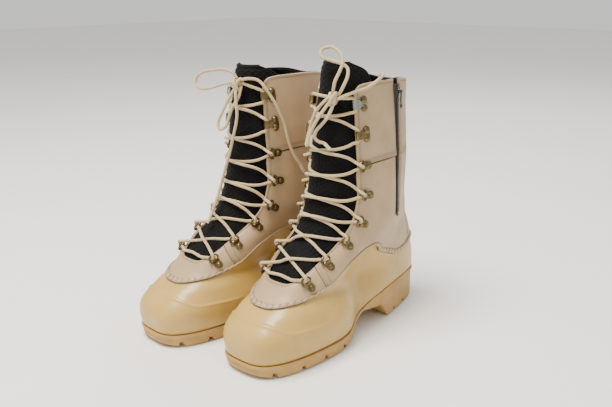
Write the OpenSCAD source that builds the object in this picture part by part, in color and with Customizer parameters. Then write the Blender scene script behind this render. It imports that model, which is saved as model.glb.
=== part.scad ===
// A pair of high lace-up boots: rubber tread, moulded foot shell, leather shaft with a zip at the side,
// padded tongue, hooks and D-rings, and a lace tied in a bow. Millimetres, toes towards -Y, soles on Z = 0,
// the wearer's left boot on +X. The right boot is the left one mirrored, set a little forward and turned.

/* [Stance] */
// Sideways place of the left boot
left_x = 63.8; // [55:0.1:75]
// Fore and aft place of the left boot
left_y = 7.5; // [-20:0.5:20]
// How far the right boot stands to the side of the left one
pair_step = 123; // [118:0.5:160]
// How far the right boot stands in front of the left one
pair_lead = 17; // [-20:0.5:30]
// How far the right boot's toe is turned
right_yaw = -4; // [-8:0.5:4]

/* [Upper] */
// Thickness of the leather panels
leather_t = 1.8; // [1.2:0.1:2.2]
// Wall of the moulded foot shell
shell_t = 3; // [2:0.1:3.2]
// Thickness of the padded lining
lining_t = 3; // [1.5:0.1:3.2]
// Thickness of the padded tongue
tongue_t = 4.5; // [3:0.1:5]
// How much further the left tongue's top stands out of its collar than the right one's
left_tongue_rise = 10; // [0:0.5:10]
// Width of the stitched band along the leather's lower edge
band_w = 7; // [5:0.5:8]

/* [Sole] */
// Depth of the tread lugs
lug_depth = 5; // [3:0.5:6]
// Width of the grooves between the lugs
groove_w = 5; // [3:0.5:7]
// Thickness of the rounded rand between tread and shell
rand_t = 4; // [3:0.5:4.5]

/* [Lacing] */
// Diameter of the round lace
lace_d = 3.6; // [3:0.1:4]
// Diameter of the D-ring wire
wire_d = 2.2; // [1.8:0.1:2.4]
// Width of the strap that holds a D-ring
clip_w = 9; // [8:0.5:10]

/* [Zip] */
// Height of the zip's lower end
zip_foot = 136; // [134:1:150]
// Height of the zip's upper end
zip_head = 291; // [280:1:292]
// Width of the opening between the leather edges
zip_gap = 11; // [10.5:0.5:12]

/* [Hidden] */

rubber = "#D8C091";
leather = "#CFC3B0";
black = "#1C1B1A";
metal = "#8A7448";
cord = "#E3D5BC";

// ---- the boot's surface -------------------------------------------------------------------------
// Level sections of one boot: height, front, back, half width at the ball, half width at the heel
sections = [
    [0, -150, 152, 52.5, 37], [20, -152, 154, 54, 39], [45, -149, 152, 55, 41], [60, -131, 151, 49, 41],
    [75, -104, 149, 42, 40.5], [90, -88, 145, 44, 39], [105, -70, 140, 46, 38], [120, -52, 133, 46, 37],
    [145, -34, 126, 46, 37], [170, -24, 124, 45, 37.5], [200, -18, 124, 43, 38.5], [235, -15, 123, 41, 38],
    [265, -10, 121, 38, 36], [290, -6, 121, 35, 35.5], [320, -4, 121, 34, 35]];
last_section = len(sections) - 1;
ball_y = -47;        // widest place of the foot
waist_y = 13;        // narrowest place of the foot
waist_in = 15;       // how far the sides draw in there
waist_run = 30;      // length over which they do

function ease(t) = let (u = min(max(t, 0), 1)) u * u * (3 - 2 * u);
function mix(a, b, t) = a + (b - a) * t;
function rise(i, k) = (sections[i + 1][k] - sections[i][k]) / (sections[i + 1][0] - sections[i][0]);
function slope(i, k) =
    i == 0 ? rise(0, k) :
    i == last_section ? rise(i - 1, k) :
    let (below = sections[i][0] - sections[i - 1][0], above = sections[i + 1][0] - sections[i][0])
    (rise(i - 1, k) * above + rise(i, k) * below) / (below + above);
function level(z) = max(0, min(last_section, len([for (s = sections) if (s[0] <= z) 1])) - 1);

// A section's value at any height: a smooth curve through the table
function section(z, k) =
    let (i = min(level(z), last_section - 1), h = sections[i + 1][0] - sections[i][0],
        t = min(max((z - sections[i][0]) / h, 0), 1), a = sections[i][k], b = sections[i + 1][k])
    a + (b - a) * t * t * (3 - 2 * t) + h * t * (1 - t) * (slope(i, k) * (1 - t) - slope(i + 1, k) * t);

// The surface itself. turn is 0 at the front, 90 at the outer side, 180 at the heel and 270 at the inner side
function skin(z, turn) =
    let (front = section(z, 1), back = section(z, 2), foot = 1 - ease((z - 60) / 80),
        mid = mix((front + back) / 2, ball_y, foot), c = cos(turn), s = sin(turn),
        y = c > 0 ? mid - (mid - front) * pow(c, 0.95) : mid + (back - mid) * pow(-c, 0.85),
        t = ease(1.15 * (y - mid) / (back - mid)), pull = (y - waist_y) / waist_run,
        half = mix(section(z, 3), section(z, 4), t) - foot * waist_in * exp(-pull * pull),
        x = sign(s) * pow(abs(s), mix(0.9, 0.6, foot)) * half)
    [x - foot * 0.5 * ease((-y - 20) / 120), y, z];
function out(z, turn) =
    let (n = cross(skin(z, turn + 1) - skin(z, turn - 1), skin(z + 1, turn) - skin(z - 1, turn)))
    n / norm(n);
function at(p, d) = skin(p[0], p[1]) + d * out(p[0], p[1]);

// ---- lines on the surface, as [height, turn] ------------------------------------------------------
vamp_low = [[67, 0], [68.5, 14], [70.5, 30], [73, 50], [77, 64], [81, 72]];
vamp_top = [[88, 0], [88.2, 8], [89.5, 15], [93, 22], [98, 27], [104, 32]];
quarter_low = [[81, 72], [86, 76], [97, 79], [105, 87], [109, 94], [104, 102], [97, 107], [88, 117],
    [80, 127], [80, 138], [84, 148]];
quarter_top = [[104, 32], [118, 40], [140, 49], [170, 51.5], [203, 49.5], [207, 70], [209, 98.4],
    [209, 107.2], [209, 113], [209, 121], [209, 130]];
stay_low = [[84, 148], [86, 164], [87, 180]];
stay_top = [[209, 130], [209, 152], [209, 180]];
shaft_low = [[203, 49.5], [206, 58], [208, 70], [209, 84], [209, 98.4]];
shaft_top = [[287, 42], [294, 49], [296.5, 62], [297, 78], [297, 96]];
rear_low = [[209, 107.2], [209, 130], [209, 152], [209, 180], [209, 208], [209, 230], [209, 253],
    [209, 276], [208, 290], [206, 302], [203, 310.5]];
rear_top = [[297, 106], [295, 128], [291, 152], [290, 180], [291, 208], [295, 232], [297, 257],
    [297, 282], [296.5, 298], [294, 311], [287, 318]];
// Height of the line between the tread and the shell, by place along the foot
sole_line = [[-170, 16], [-30, 16], [0, 19], [20, 26], [38, 36], [55, 41.5], [80, 43], [170, 41]];

function reverse(list) = [for (i = [len(list) - 1:-1:0]) list[i]];
function mirrored(list) = [for (p = list) [p[0], 360 - p[1]]];
function both_ways(half) = concat([for (p = reverse(half)) [p[0], -p[1]]], [for (i = [1:len(half) - 1]) half[i]]);
// A point at position u on a list of points, straight from one to the next
function along(list, u) =
    let (i = max(0, min(floor(u), len(list) - 2))) list[i] + (list[i + 1] - list[i]) * (u - i);
function sole_top(y) = lookup(y, sole_line);

// ---- sheets and tubes -----------------------------------------------------------------------------
// A sheet between two equal grids of points, outer and inner. keep(i, j) says whether a cell is there.
module sheet(outer, inner, closed = false, keep = function(i, j) true) {
    ni = len(outer);
    nj = len(outer[0]);
    ci = closed ? ni : ni - 1;
    cj = nj - 1;
    shift = ni * nj;
    there = function(i, j) j >= 0 && j < cj && (closed || (i >= 0 && i < ci)) && keep((i + ci) % ci, j);
    spot = function(i, j) (i % ni) * nj + j;
    points = concat([for (row = outer) each row], [for (row = inner) each row]);
    faces = [for (i = [0:ci - 1], j = [0:cj - 1]) if (there(i, j))
        let (a = spot(i, j), b = spot(i + 1, j), c = spot(i + 1, j + 1), d = spot(i, j + 1),
            a2 = a + shift, b2 = b + shift, c2 = c + shift, d2 = d + shift)
        each concat([[a, d, c], [a, c, b], [a2, c2, d2], [a2, b2, c2]],
            there(i - 1, j) ? [] : [[d, a, a2], [d, a2, d2]],
            there(i + 1, j) ? [] : [[b, c, c2], [b, c2, b2]],
            there(i, j - 1) ? [] : [[a, b, b2], [a, b2, a2]],
            there(i, j + 1) ? [] : [[c, d, d2], [c, d2, c2]])];
    polyhedron(points, faces);
}

// A panel of the surface between a lower and an upper line, per steps in each span, rows of cells high
module panel(low, top, d0, d1, per = 1, rows = 4, keep = function(i, j) true) {
    n = (len(low) - 1) * per;
    cells = [for (i = [0:n]) [for (j = [0:rows]) mix(along(low, i / per), along(top, i / per), j / rows)]];
    sheet([for (col = cells) [for (p = col) at(p, d1)]], [for (col = cells) [for (p = col) at(p, d0)]],
        keep = keep);
}

function unit(v) = v / norm(v);
function heading(route, i) =
    unit(route[min(i + 1, len(route) - 1)] - route[max(i - 1, 0)]);
function carry(n, t) = unit(n - (n * t) * t);

// A round tube along a route of points
module tube(route, d, sides = 8) {
    first = abs(heading(route, 0)[2]) < 0.8 ? [0, 0, 1] : [0, 1, 0];
    count = len(route);
    normals = [for (i = 0, n = carry(first, heading(route, 0)); i < count;
        i = i + 1, n = i < count ? carry(n, heading(route, i)) : n) n];
    points = [for (i = [0:count - 1], k = [0:sides - 1])
        let (n = normals[i], b = cross(heading(route, i), n), a = 360 * k / sides)
        route[i] + d / 2 * (cos(a) * n + sin(a) * b)];
    sleeve = [for (i = [0:count - 2], k = [0:sides - 1])
        let (a = i * sides + k, b = i * sides + (k + 1) % sides)
        each [[a, a + sides, b + sides], [a, b + sides, b]]];
    polyhedron(points, concat(sleeve, [[for (k = [0:sides - 1]) k]],
        [[for (k = [sides - 1:-1:0]) (count - 1) * sides + k]]));
}

// ---- placing --------------------------------------------------------------------------------------
module left() {
    translate([left_x, left_y, 0]) children();
}
module right() {
    translate([left_x - pair_step, left_y - pair_lead, 0]) rotate(right_yaw) mirror([1, 0, 0]) children();
}
// Sets children on the surface at [height, turn]: Z outwards, Y down the throat's edge, X towards the tongue
function frame_at(p, down) =
    let (z = out(p[0], p[1]), y = carry(down, z), x = cross(y, z), o = skin(p[0], p[1]))
    [[x[0], y[0], z[0], o[0]], [x[1], y[1], z[1], o[1]], [x[2], y[2], z[2], o[2]], [0, 0, 0, 1]];
function row_down(i) =
    let (a = fittings[max(i - 1, 0)], b = fittings[min(i + 1, 7)]) unit(at(b, 0) - at(a, 0));
module on_skin(i, side) {
    m = frame_at(fittings[i], row_down(i));
    flip = side == 0 ? [0, 0, 0] : [1, 0, 0];
    mirror(flip) multmatrix(m) children();
}
// Places of the eight fittings on each side, from the top down: two hooks, then six D-rings
fittings = [[274, 51], [241, 55.5], [206, 58], [172.5, 62], [141.5, 61.5], [121.5, 55], [105, 47], [88, 40]];
hook_rows = [0, 1];
ring_rows = [2:7];

// ---- sole -----------------------------------------------------------------------------------------
function outline(z, grow) = [for (a = [0:6:354]) let (p = at([z, a], grow)) [p[0], p[1]]];
heel_front = 74;
arch_top = 21;
tread_side = [[-160, 0], [-2, 0], [24, arch_top - 1], [50, arch_top], [58, 12], [heel_front, 0], [142, 0],
    [158, 12], [170, 60], [-170, 60]];
tread_grooves = [-134, -101, -68, -35, 85, 113];

module side_profile(points) {
    translate([-80, 0, 0]) rotate([90, 0, 90]) linear_extrude(160) polygon(points);
}
module sole_slab(low, high, grow) {
    lift = [for (p = sole_line) [p[0], p[1] + high]];
    fall = [for (p = reverse(sole_line)) [p[0], low == undef ? -5 : p[1] + low]];
    intersection() {
        translate([0, 0, -2]) linear_extrude(60) polygon(outline(20, grow));
        side_profile(concat(lift, fall));
    }
}
module outsole() {
    color(rubber) difference() {
        intersection() {
            sole_slab(undef, -rand_t, -1.5);
            side_profile(tread_side);
        }
        for (y = tread_grooves)
            translate([-80, y - groove_w / 2, -1]) cube([160, groove_w, lug_depth + 1]);
        translate([-2.5, -135, -1]) cube([5, 116, lug_depth + 1]);
    }
}
module rand() {
    color(rubber) sole_slab(-rand_t, 0, 0.8);
}

// ---- foot shell and what it holds -------------------------------------------------------------------
shell_tuck = 7;      // height of the shell's rim that lies under the leather
rim_in = 1.2;        // how far the rim is set in there
function shell_low(a) = sole_top(skin(20, a)[1]) + 0.8;
function shell_high(a) =
    let (t = a > 180 ? 360 - a : a)
    lookup(t, [[0, 74], [30, 78], [50, 81], [64, 85], [72, 89], [79, 104], [87, 112], [94, 116],
        [102, 111], [113, 100], [125, 88], [148, 92], [180, 95]]);
module shell() {
    wall = function(a, d) concat(
        [for (v = [0:0.16:1]) at([mix(shell_low(a), shell_high(a) - shell_tuck, v), a], d)],
        [at([shell_high(a) - shell_tuck, a], d - 0.5), at([shell_high(a), a], d - rim_in)]);
    grid = function(d) [for (a = [0:6:354]) wall(a, d)];
    color(rubber) sheet(grid(0), grid(-shell_t), closed = true);
}
// Flat pieces inside the foot follow the sole's line: a slab between two offsets above it
module foot_slab(low, high, inset) {
    lift = [for (p = sole_line) [p[0], p[1] + high]];
    fall = [for (p = reverse(sole_line)) [p[0], p[1] + low]];
    intersection() {
        translate([0, 0, 5]) linear_extrude(60) polygon(outline(40, -inset));
        side_profile(concat(lift, fall));
    }
}
module insole_board() {
    color("#A98D62") foot_slab(0.1, 2.6, shell_t + 6);
}
module shank() {
    color("silver") intersection() {
        foot_slab(2.7, 4.2, 10);
        translate([-8, -20, 0]) cube([16, 125, 70]);
    }
}
module footbed() {
    color(black) foot_slab(4.3, 8.5, shell_t + 8);
}
module heel_counter() {
    color("#8C8A86") panel([for (a = [120:12:240]) [56, a]], [for (a = [120:12:240]) [80, a]],
        -shell_t - 1.7, -shell_t - 0.9, rows = 2);
}
lining_gap = [[54, 2], [70, 4], [84, 22], [94, 34], [105, 44], [122, 52], [142, 61], [170, 65], [205, 66],
    [240, 67], [270, 70], [296, 76]];
module lining() {
    heights = [54, 60, 66, 75, 84, 94, 108, 122, 142, 170, 205, 240, 270, 295];
    spot = function(z, u) let (g = lookup(z, lining_gap)) [z, mix(g, 360 - g, u)];
    near = -shell_t - 3.2;
    cells = 40;
    grid = function(d) [for (i = [0:cells]) [for (z = heights) at(spot(z, i / cells), d)]];
    color(black) sheet(grid(near), grid(near - lining_t));
}

// ---- leather ----------------------------------------------------------------------------------------
leather_in = 0.25;
module leather_panel(low, top, per = 1, rows = 4, keep = function(i, j) true) {
    color(leather) panel(low, top, leather_in, leather_in + leather_t, per, rows, keep);
}
module vamp() {
    leather_panel(both_ways(vamp_low), both_ways(vamp_top), rows = 4);
}
module lateral_quarter() {
    // The cells of the seventh span above the zip's foot are left out for the zip
    leather_panel(quarter_low, quarter_top, rows = 10, keep = function(i, j) !(i == 6 && j >= 3));
}
module medial_quarter() {
    leather_panel(mirrored(reverse(quarter_low)), mirrored(reverse(quarter_top)), rows = 8);
}
module lateral_shaft() {
    leather_panel(shaft_low, shaft_top, rows = 4);
}
module medial_shaft() {
    leather_panel(rear_low, rear_top, rows = 4);
}
module back_stay() {
    leather_panel(concat(stay_low, mirrored(reverse([stay_low[0], stay_low[1]]))),
        concat(stay_top, mirrored(reverse([stay_top[0], stay_top[1]]))), per = 2, rows = 8);
}
module edge_band() {
    edge = concat(vamp_low, [for (i = [1:len(quarter_low) - 1]) quarter_low[i]], [stay_low[1], stay_low[2]]);
    loop = concat(both_ways(edge));
    count = len(loop) - 1;
    low = [for (i = [0:0.5:count - 0.5]) along(loop, i)];
    // Up the panel by the band's width: mostly height on the sides, mostly length on the toe
    lift = [for (p = low) [p[0] + band_w * mix(0.62, 0.95, ease((abs(p[1]) - 20) / 50)), p[1]]];
    grid = function(d) [for (i = [0:len(low) - 1])
        [at(low[i], d), at(mix(low[i], lift[i], 0.5), d + 0.3), at(lift[i], d)]];
    color(leather) sheet(grid(leather_in + leather_t + 1.3), grid(leather_in + leather_t + 0.45), closed = true);
}
tongue_half = [[84, 16], [94, 28], [105, 39], [122, 47], [142, 56], [170, 60], [205, 61], [240, 62],
    [270, 65], [292, 68], [302, 58], [309, 38]];
module tongue(pulled = 0) {
    heights = [for (p = tongue_half) p[0]];
    lifted = function(z) z + pulled * ease((z - 262) / 40);
    skin_d = -1.4;
    grid = function(d) [for (i = [-5:5]) [for (z = heights)
        at([lifted(z), lookup(z, tongue_half) * i / 5], d)]];
    color(black) sheet(grid(skin_d), grid(skin_d - tongue_t));
}

// ---- zip ----------------------------------------------------------------------------------------------
// The zip lies on a straight line up the outer side. Its own frame: X outwards, Y to the rear, Z up the line
zip_y = 73;
zip_low = [41.6, zip_y, zip_foot];
zip_high = [36.4, zip_y, zip_head];
zip_len = norm(zip_high - zip_low);
zip_lean = atan2(zip_low[0] - zip_high[0], zip_head - zip_foot);
zip_turn = 10;
slider_l = 12;
slider_w = 7.8;
slider_top = zip_len - 3;
pin_r = 0.7;
pin_x = 6.4;
module on_zip() {
    translate(zip_low) rotate([0, -zip_lean, 0]) rotate([0, 0, zip_turn]) children();
}
module bar(x0, x1, w, z0, z1) {
    translate([x0, -w / 2, z0]) cube([x1 - x0, w, z1 - z0]);
}
module zip_tape() {
    color(black) on_zip() bar(-0.6, 0.4, zip_gap - 3, -3, zip_len);
}
module zip_chain() {
    color(black) on_zip() {
        for (side = [-1, 1]) translate([0, side * 1.05, 0]) bar(0.4, 1.6, 2, 0, zip_len - 2);
        bar(0.4, 2.4, 4.4, -2.4, -0.1);
        bar(0.4, 2.4, 4.4, zip_len - 1.9, zip_len);
    }
}
module zip_slider() {
    color(metal) on_zip() translate([0, 0, slider_top - slider_l]) difference() {
        union() {
            bar(2, 3.8, slider_w, 0, slider_l);
            for (side = [-1, 1]) {
                translate([0, side * (slider_w / 2 - 0.7), 0]) bar(0.8, 2.1, 1.4, 0, slider_l);
                translate([0, side * 2.3, 0]) bar(3.7, pin_x + 1.2, 1, 5, 8);
            }
            translate([pin_x, 0, 6.5]) rotate([90, 0, 0]) cylinder(h = 5.2, r = pin_r, center = true, $fn = 32);
        }
    }
}
module zip_pull() {
    color(metal) on_zip() translate([pin_x, 0, slider_top - slider_l + 6.5]) difference() {
        union() {
            rotate([90, 0, 0]) cylinder(h = 3, r = 1.8, center = true, $fn = 40);
            bar(-0.7, 0.7, 3, -4.5, -1);
            bar(-0.7, 0.7, 5, -20, -4);
        }
        rotate([90, 0, 0]) cylinder(h = 8, r = pin_r + 0.08, center = true, $fn = 40);
        translate([-2, 0, -16.5]) rotate([0, 90, 0]) cylinder(h = 4, r = 1.3, $fn = 32);
    }
}

// ---- fittings -------------------------------------------------------------------------------------------
plate_z = leather_in + leather_t;
bar_x = 3.2;      // the D-ring's straight bar, towards the tongue from the fitting's centre
bar_z = plate_z + 2.6;
ring_reach = 7;
ring_half = clip_w / 2 + 1.6;
strap_t = 1;
hook_spread = 4.6;
module each_fitting(rows) {
    for (side = [0, 1], i = rows) on_skin(i, side) children();
}
module d_rings() {
    color(metal) each_fitting(ring_rows) translate([bar_x, 0, bar_z]) rotate([0, -16, 0]) {
        rotate([90, 0, 0]) cylinder(h = 2 * ring_half, d = wire_d, center = true, $fn = 24);
        difference() {
            rotate_extrude($fn = 48) translate([ring_half, 0]) circle(d = wire_d, $fn = 20);
            translate([-20, -10, -5]) cube([20, 20, 10]);
        }
    }
}
module ring_clips() {
    wrap_r = wire_d / 2 + 0.1;
    color(metal) each_fitting(ring_rows) {
        translate([0, clip_w / 2, 0]) rotate([90, 0, 0]) linear_extrude(clip_w) difference() {
            union() {
                translate([bar_x, bar_z]) circle(r = wrap_r + strap_t, $fn = 36);
                translate([-4, plate_z + 0.02]) square([4 + bar_x, strap_t + 0.6]);
            }
            translate([bar_x, bar_z]) circle(r = wrap_r, $fn = 36);
        }
        translate([-4, 0, plate_z + 0.02]) linear_extrude(strap_t + 0.6) intersection() {
            circle(d = clip_w, $fn = 40);
            translate([-10, -10]) square([10, 20]);
        }
    }
}
module dome(d, h) {
    rotate_extrude($fn = 32) intersection() {
        translate([0, h - (d * d / 4 + h * h) / (2 * h)]) circle(r = (d * d / 4 + h * h) / (2 * h), $fn = 64);
        square([d, h]);
    }
}
module rivets() {
    rivet_z = plate_z + strap_t + 0.65;
    color(metal) {
        each_fitting(ring_rows) translate([-4, 0, rivet_z]) dome(5.6, 1.5);
        each_fitting(hook_rows) for (s = [-1, 1]) translate([-3.6, s * hook_spread, rivet_z]) dome(7.4, 1.9);
    }
}
module hooks() {
    // A plate under two rivets, and a strap that curls over towards the tongue and back
    color(metal) each_fitting(hook_rows) {
        translate([0, 0, plate_z + 0.02]) linear_extrude(strap_t + 0.6) union() {
            for (s = [-1, 1]) translate([-3.6, s * hook_spread]) circle(d = 8.6, $fn = 40);
            translate([-3.6, -4.6]) square([7.2, 9.2]);
        }
        translate([0, 4.6, 0]) rotate([90, 0, 0]) linear_extrude(9.2) difference() {
            union() {
                translate([3.6, plate_z + 0.02]) square([4.4, strap_t]);
                translate([8, plate_z + 3.62]) circle(r = 3.6, $fn = 48);
                translate([3.4, plate_z + 6.22]) square([4.6, strap_t]);
            }
            translate([8, plate_z + 3.62]) circle(r = 3.6 - strap_t, $fn = 48);
            translate([0, plate_z + 0.02 + strap_t]) square([8, 5.2]);
        }
    }
}

// ---- lace -------------------------------------------------------------------------------------------------
// A fitting's own frame again, for points of the lace: [towards tongue, up, out]
function local(i, side, p) =
    let (m = frame_at(fittings[i], row_down(i)), q = m * [p[0], -p[1], p[2], 1])
    [side == 0 ? q[0] : -q[0], q[1], q[2]];
lift_low = -1.4 + lace_d / 2 + 0.3;      // a strand that lies on the tongue
lift_high = lift_low + lace_d + 0.4;     // a strand that crosses over another
// How much higher a straight strand lies at its middle than at its ends, by height up the throat
brow = [[80, 9], [105, 8], [125, 6], [145, 3.5], [172, 1.5], [206, 0.5], [274, 0]];
// Points of the crossing from fitting i up to fitting i - 1 of the other side
function crossing(i, side) =
    let (a = fittings[i], b = fittings[i - 1], s = side == 0 ? 1 : -1, over = side == 1 ? lift_high : lift_low)
    [for (t = [0.3, 0.42, 0.5, 0.58, 0.7])
        let (z = mix(a[0], b[0], mix(t, ease(t), 0.5)))
        at([z + lookup(z, brow) * sin(180 * t), s * mix(a[1], -b[1], t)],
            mix(1.6, over, ease(1 - abs(t - 0.5) / 0.24)))];
// In under the ring's wire, up through the ring and back over the wire
function through_ring(i, side) =
    [for (p = [[9.5, -2.6, 2.6], [6.8, -0.6, 5.4], [8.6, 1, 9.4], [11.8, 2.2, 9.6]]) local(i, side, p)];
// In below the hook's curl, up behind it and out above it
function round_hook(i, side) =
    [for (p = [[9.4, -7.8, 4.6], [8, -3, 5.6], [8, 3, 5.6], [9.4, 7.8, 4.6]]) local(i, side, p)];
function climb(side) =
    [for (i = [7:-1:0]) let (s = (i % 2 == 1) ? side : 1 - side)
        each concat(i > 1 ? through_ring(i, s) : round_hook(i, s), i > 0 ? crossing(i, s) : [])];
knot_r = 6.5;
left_knot = [14, -11, 282];
right_knot = [-7, -12, 289];
left_knot_turn = 20;
right_knot_turn = -9;
// From the top hook across the tongue and into the knot
function to_knot(side, knot, knot_turn) =
    let (s = side == 0 ? 1 : -1)
    concat([for (u = [0, 0.5, 1]) at([mix(277, knot[2] - 2, u), mix(s * 42, knot_turn + s * 14, u)], lift_low)],
        [knot + [s * knot_r * 0.7, knot_r * 0.4, 0]]);
function lace_route(knot, knot_turn) = concat(
    reverse(to_knot(1, knot, knot_turn)),
    reverse(climb(1)),
    [at([91, -16], 3), at([92.5, 0], 3), at([91, 16], 3)],
    climb(0),
    to_knot(0, knot, knot_turn));
module lace(knot, knot_turn) {
    color(cord) {
        tube(lace_route(knot, knot_turn), lace_d, 6);
        translate(knot) sphere(r = knot_r, $fn = 32);
    }
}

// The bow's loops and ends, each in its own boot's place: sideways, fore and aft, height
upright_loop = [[13.5, -12, 288], [17, -13.5, 299.5], [20, -9, 310.7], [20, -3.5, 320.7], [14, -1.5, 329.5],
    [3, -3, 335], [-5, -10, 331.5], [-2, -13, 325.5], [8, -9.5, 321.7], [18, -5.5, 319], [25, -2, 314],
    [27, -4, 306], [24.5, -8, 295.5], [18.5, -8.5, 285.5]];
left_hanging = [[9, -14, 282.5], [4, -19, 276], [-2, -22, 268], [-6, -24, 258], [-9, -25, 247],
    [-11, -27, 237], [-9, -31, 231], [-3, -35, 233], [-1, -35, 242], [3, -31, 255], [8, -25, 267],
    [11.5, -15.5, 278]];
collar_end = [[19.5, -12, 281.5], [27, -5, 286], [31, 8, 289], [35, 21, 292], [38, 34, 298], [38, 45, 303],
    [34, 52, 303.5], [28, 55, 302], [24.4, 57, 295], [24.2, 58, 286]];
short_end = [[16, -14, 277], [15, -18, 269], [12, -21, 261], [6, -24, 253], [0, -25, 246], [-1, -26, 239],
    [4, -25, 235], [10, -23, 234]];
wide_loop = [[-6.5, -14, 294.7], [-2, -16, 301], [9, -21, 304], [20, -28, 303], [31, -35, 300],
    [38, -39, 294], [37, -41, 286], [28, -40, 282], [18, -34, 283], [8, -27, 287], [-2.5, -16, 290]];
right_hanging = [[-4.5, -14.5, 284], [-2, -21, 274], [3, -25, 263], [8, -28, 252], [11, -31, 242],
    [7, -32, 235], [1, -28, 238], [-2, -24, 250], [-7, -22, 262], [-12, -17, 273], [-12, -12, 285.5]];
front_end = [[-8.5, -16.5, 285], [-12, -21, 276], [-15, -23, 266], [-16, -23, 255], [-14, -24, 242],
    [-10, -26, 226], [-6, -28, 210], [-3, -31, 196], [2, -33, 181], [5, -37, 165], [6, -43, 150],
    [4, -52, 137]];
long_end = [[-11.5, -11.5, 293], [-18, -6, 294.5], [-26, 1, 293], [-32, 5, 287], [-36, 9, 278], [-41, 14, 267],
    [-44, 19, 254], [-45, 25, 240], [-46, 28, 226], [-47, 32, 212], [-49, 37, 200], [-51, 44, 189]];
module bow_cord(route) {
    color(cord) tube(route, lace_d);
}
// A moulded tip on a lace's end: where the lace stops, and where the tip does
left_tips = [[[24.2, 58, 286], [24, 59, 272]], [[10, -23, 234], [18, -21.5, 227]]];
right_tips = [[[4, -52, 137], [2, -61, 125]], [[-51, 44, 189], [-52, 50, 178]]];
module lace_tips(ends) {
    color("#D9CDB4") for (e = ends) tube(e, lace_d + 0.4, 12);
}

left() outsole();  // left_outsole
left() rand();  // left_rand
left() shell();  // left_shell
left() insole_board();  // left_insole_board
left() shank();  // left_shank
left() footbed();  // left_footbed
left() heel_counter();  // left_heel_counter
left() lining();  // left_lining
left() vamp();  // left_vamp
left() lateral_quarter();  // left_lateral_quarter
left() medial_quarter();  // left_medial_quarter
left() lateral_shaft();  // left_lateral_shaft
left() medial_shaft();  // left_medial_shaft
left() back_stay();  // left_back_stay
left() edge_band();  // left_edge_band
left() tongue(left_tongue_rise);  // left_tongue
left() zip_tape();  // left_zip_tape
left() zip_chain();  // left_zip_chain
left() zip_slider();  // left_zip_slider
left() zip_pull();  // left_zip_pull
left() hooks();  // left_hooks
left() d_rings();  // left_d_rings
left() ring_clips();  // left_ring_clips
left() rivets();  // left_rivets
left() lace(left_knot, left_knot_turn);  // left_lace
left() bow_cord(upright_loop);  // left_upright_loop
left() bow_cord(left_hanging);  // left_hanging_loop
left() bow_cord(collar_end);  // left_collar_end
left() bow_cord(short_end);  // left_short_end
left() lace_tips(left_tips);  // left_lace_tips
right() outsole();  // right_outsole
right() rand();  // right_rand
right() shell();  // right_shell
right() insole_board();  // right_insole_board
right() shank();  // right_shank
right() footbed();  // right_footbed
right() heel_counter();  // right_heel_counter
right() lining();  // right_lining
right() vamp();  // right_vamp
right() lateral_quarter();  // right_lateral_quarter
right() medial_quarter();  // right_medial_quarter
right() lateral_shaft();  // right_lateral_shaft
right() medial_shaft();  // right_medial_shaft
right() back_stay();  // right_back_stay
right() edge_band();  // right_edge_band
right() tongue();  // right_tongue
right() zip_tape();  // right_zip_tape
right() zip_chain();  // right_zip_chain
right() zip_slider();  // right_zip_slider
right() zip_pull();  // right_zip_pull
right() hooks();  // right_hooks
right() d_rings();  // right_d_rings
right() ring_clips();  // right_ring_clips
right() rivets();  // right_rivets
right() lace(right_knot, right_knot_turn);  // right_lace
right() bow_cord(wide_loop);  // right_wide_loop
right() bow_cord(right_hanging);  // right_hanging_loop
right() bow_cord(front_end);  // right_front_end
right() bow_cord(long_end);  // right_long_end
right() lace_tips(right_tips);  // right_lace_tips
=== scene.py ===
"""A standing pair of high lace-up boots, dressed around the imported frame.

Each boot has a lugged rubber tread, a rand, a moulded foot shell, stitched leather panels with a zip at the
outer side, a padded tongue in coarse net, hooks and D-rings, and a braided lace tied in a bow. Shapes are
worked out in millimetres in a boot's own place (toes to -Y, outer side to +X) and put on the floor by Stance,
which mirrors and turns the right boot.
"""
import logging
import math
from dataclasses import dataclass, field
from enum import Enum
from typing import Callable, Sequence

import bmesh
import bpy
import numpy as np
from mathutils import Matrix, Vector
from numpy.typing import NDArray


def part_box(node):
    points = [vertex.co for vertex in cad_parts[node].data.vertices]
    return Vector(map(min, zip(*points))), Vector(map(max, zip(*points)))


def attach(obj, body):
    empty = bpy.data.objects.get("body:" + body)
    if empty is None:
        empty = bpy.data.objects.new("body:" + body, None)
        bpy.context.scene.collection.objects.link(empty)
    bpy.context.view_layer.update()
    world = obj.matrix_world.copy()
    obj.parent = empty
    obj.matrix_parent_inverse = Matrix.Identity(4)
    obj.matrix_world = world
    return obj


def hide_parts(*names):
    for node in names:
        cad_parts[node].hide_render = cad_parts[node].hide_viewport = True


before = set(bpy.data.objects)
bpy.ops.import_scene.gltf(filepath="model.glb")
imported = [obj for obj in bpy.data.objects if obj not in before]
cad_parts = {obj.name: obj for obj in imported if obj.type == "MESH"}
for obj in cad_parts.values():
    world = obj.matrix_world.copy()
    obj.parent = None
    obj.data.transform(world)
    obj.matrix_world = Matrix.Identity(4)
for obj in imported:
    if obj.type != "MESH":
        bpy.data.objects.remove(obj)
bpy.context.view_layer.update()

log = logging.getLogger("boots")
Floats = NDArray[np.float64]
MM = 0.001


# ---- the boot's surface ------------------------------------------------------------------------------
class Side(Enum):
    """Which boot of the pair, by the wearer's foot."""

    LEFT = "left"
    RIGHT = "right"


def ease(t: Floats) -> Floats:
    """Returns 0 below 0, 1 above 1 and the smooth step 3t^2 - 2t^3 between."""
    u = np.clip(t, 0.0, 1.0)
    return u * u * (3.0 - 2.0 * u)


def bump(distance: Floats, width: float) -> Floats:
    """Returns a bell of height 1 at distance 0: exp(-(distance / width)^2)."""
    return np.exp(-((np.asarray(distance) / width) ** 2))


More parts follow.
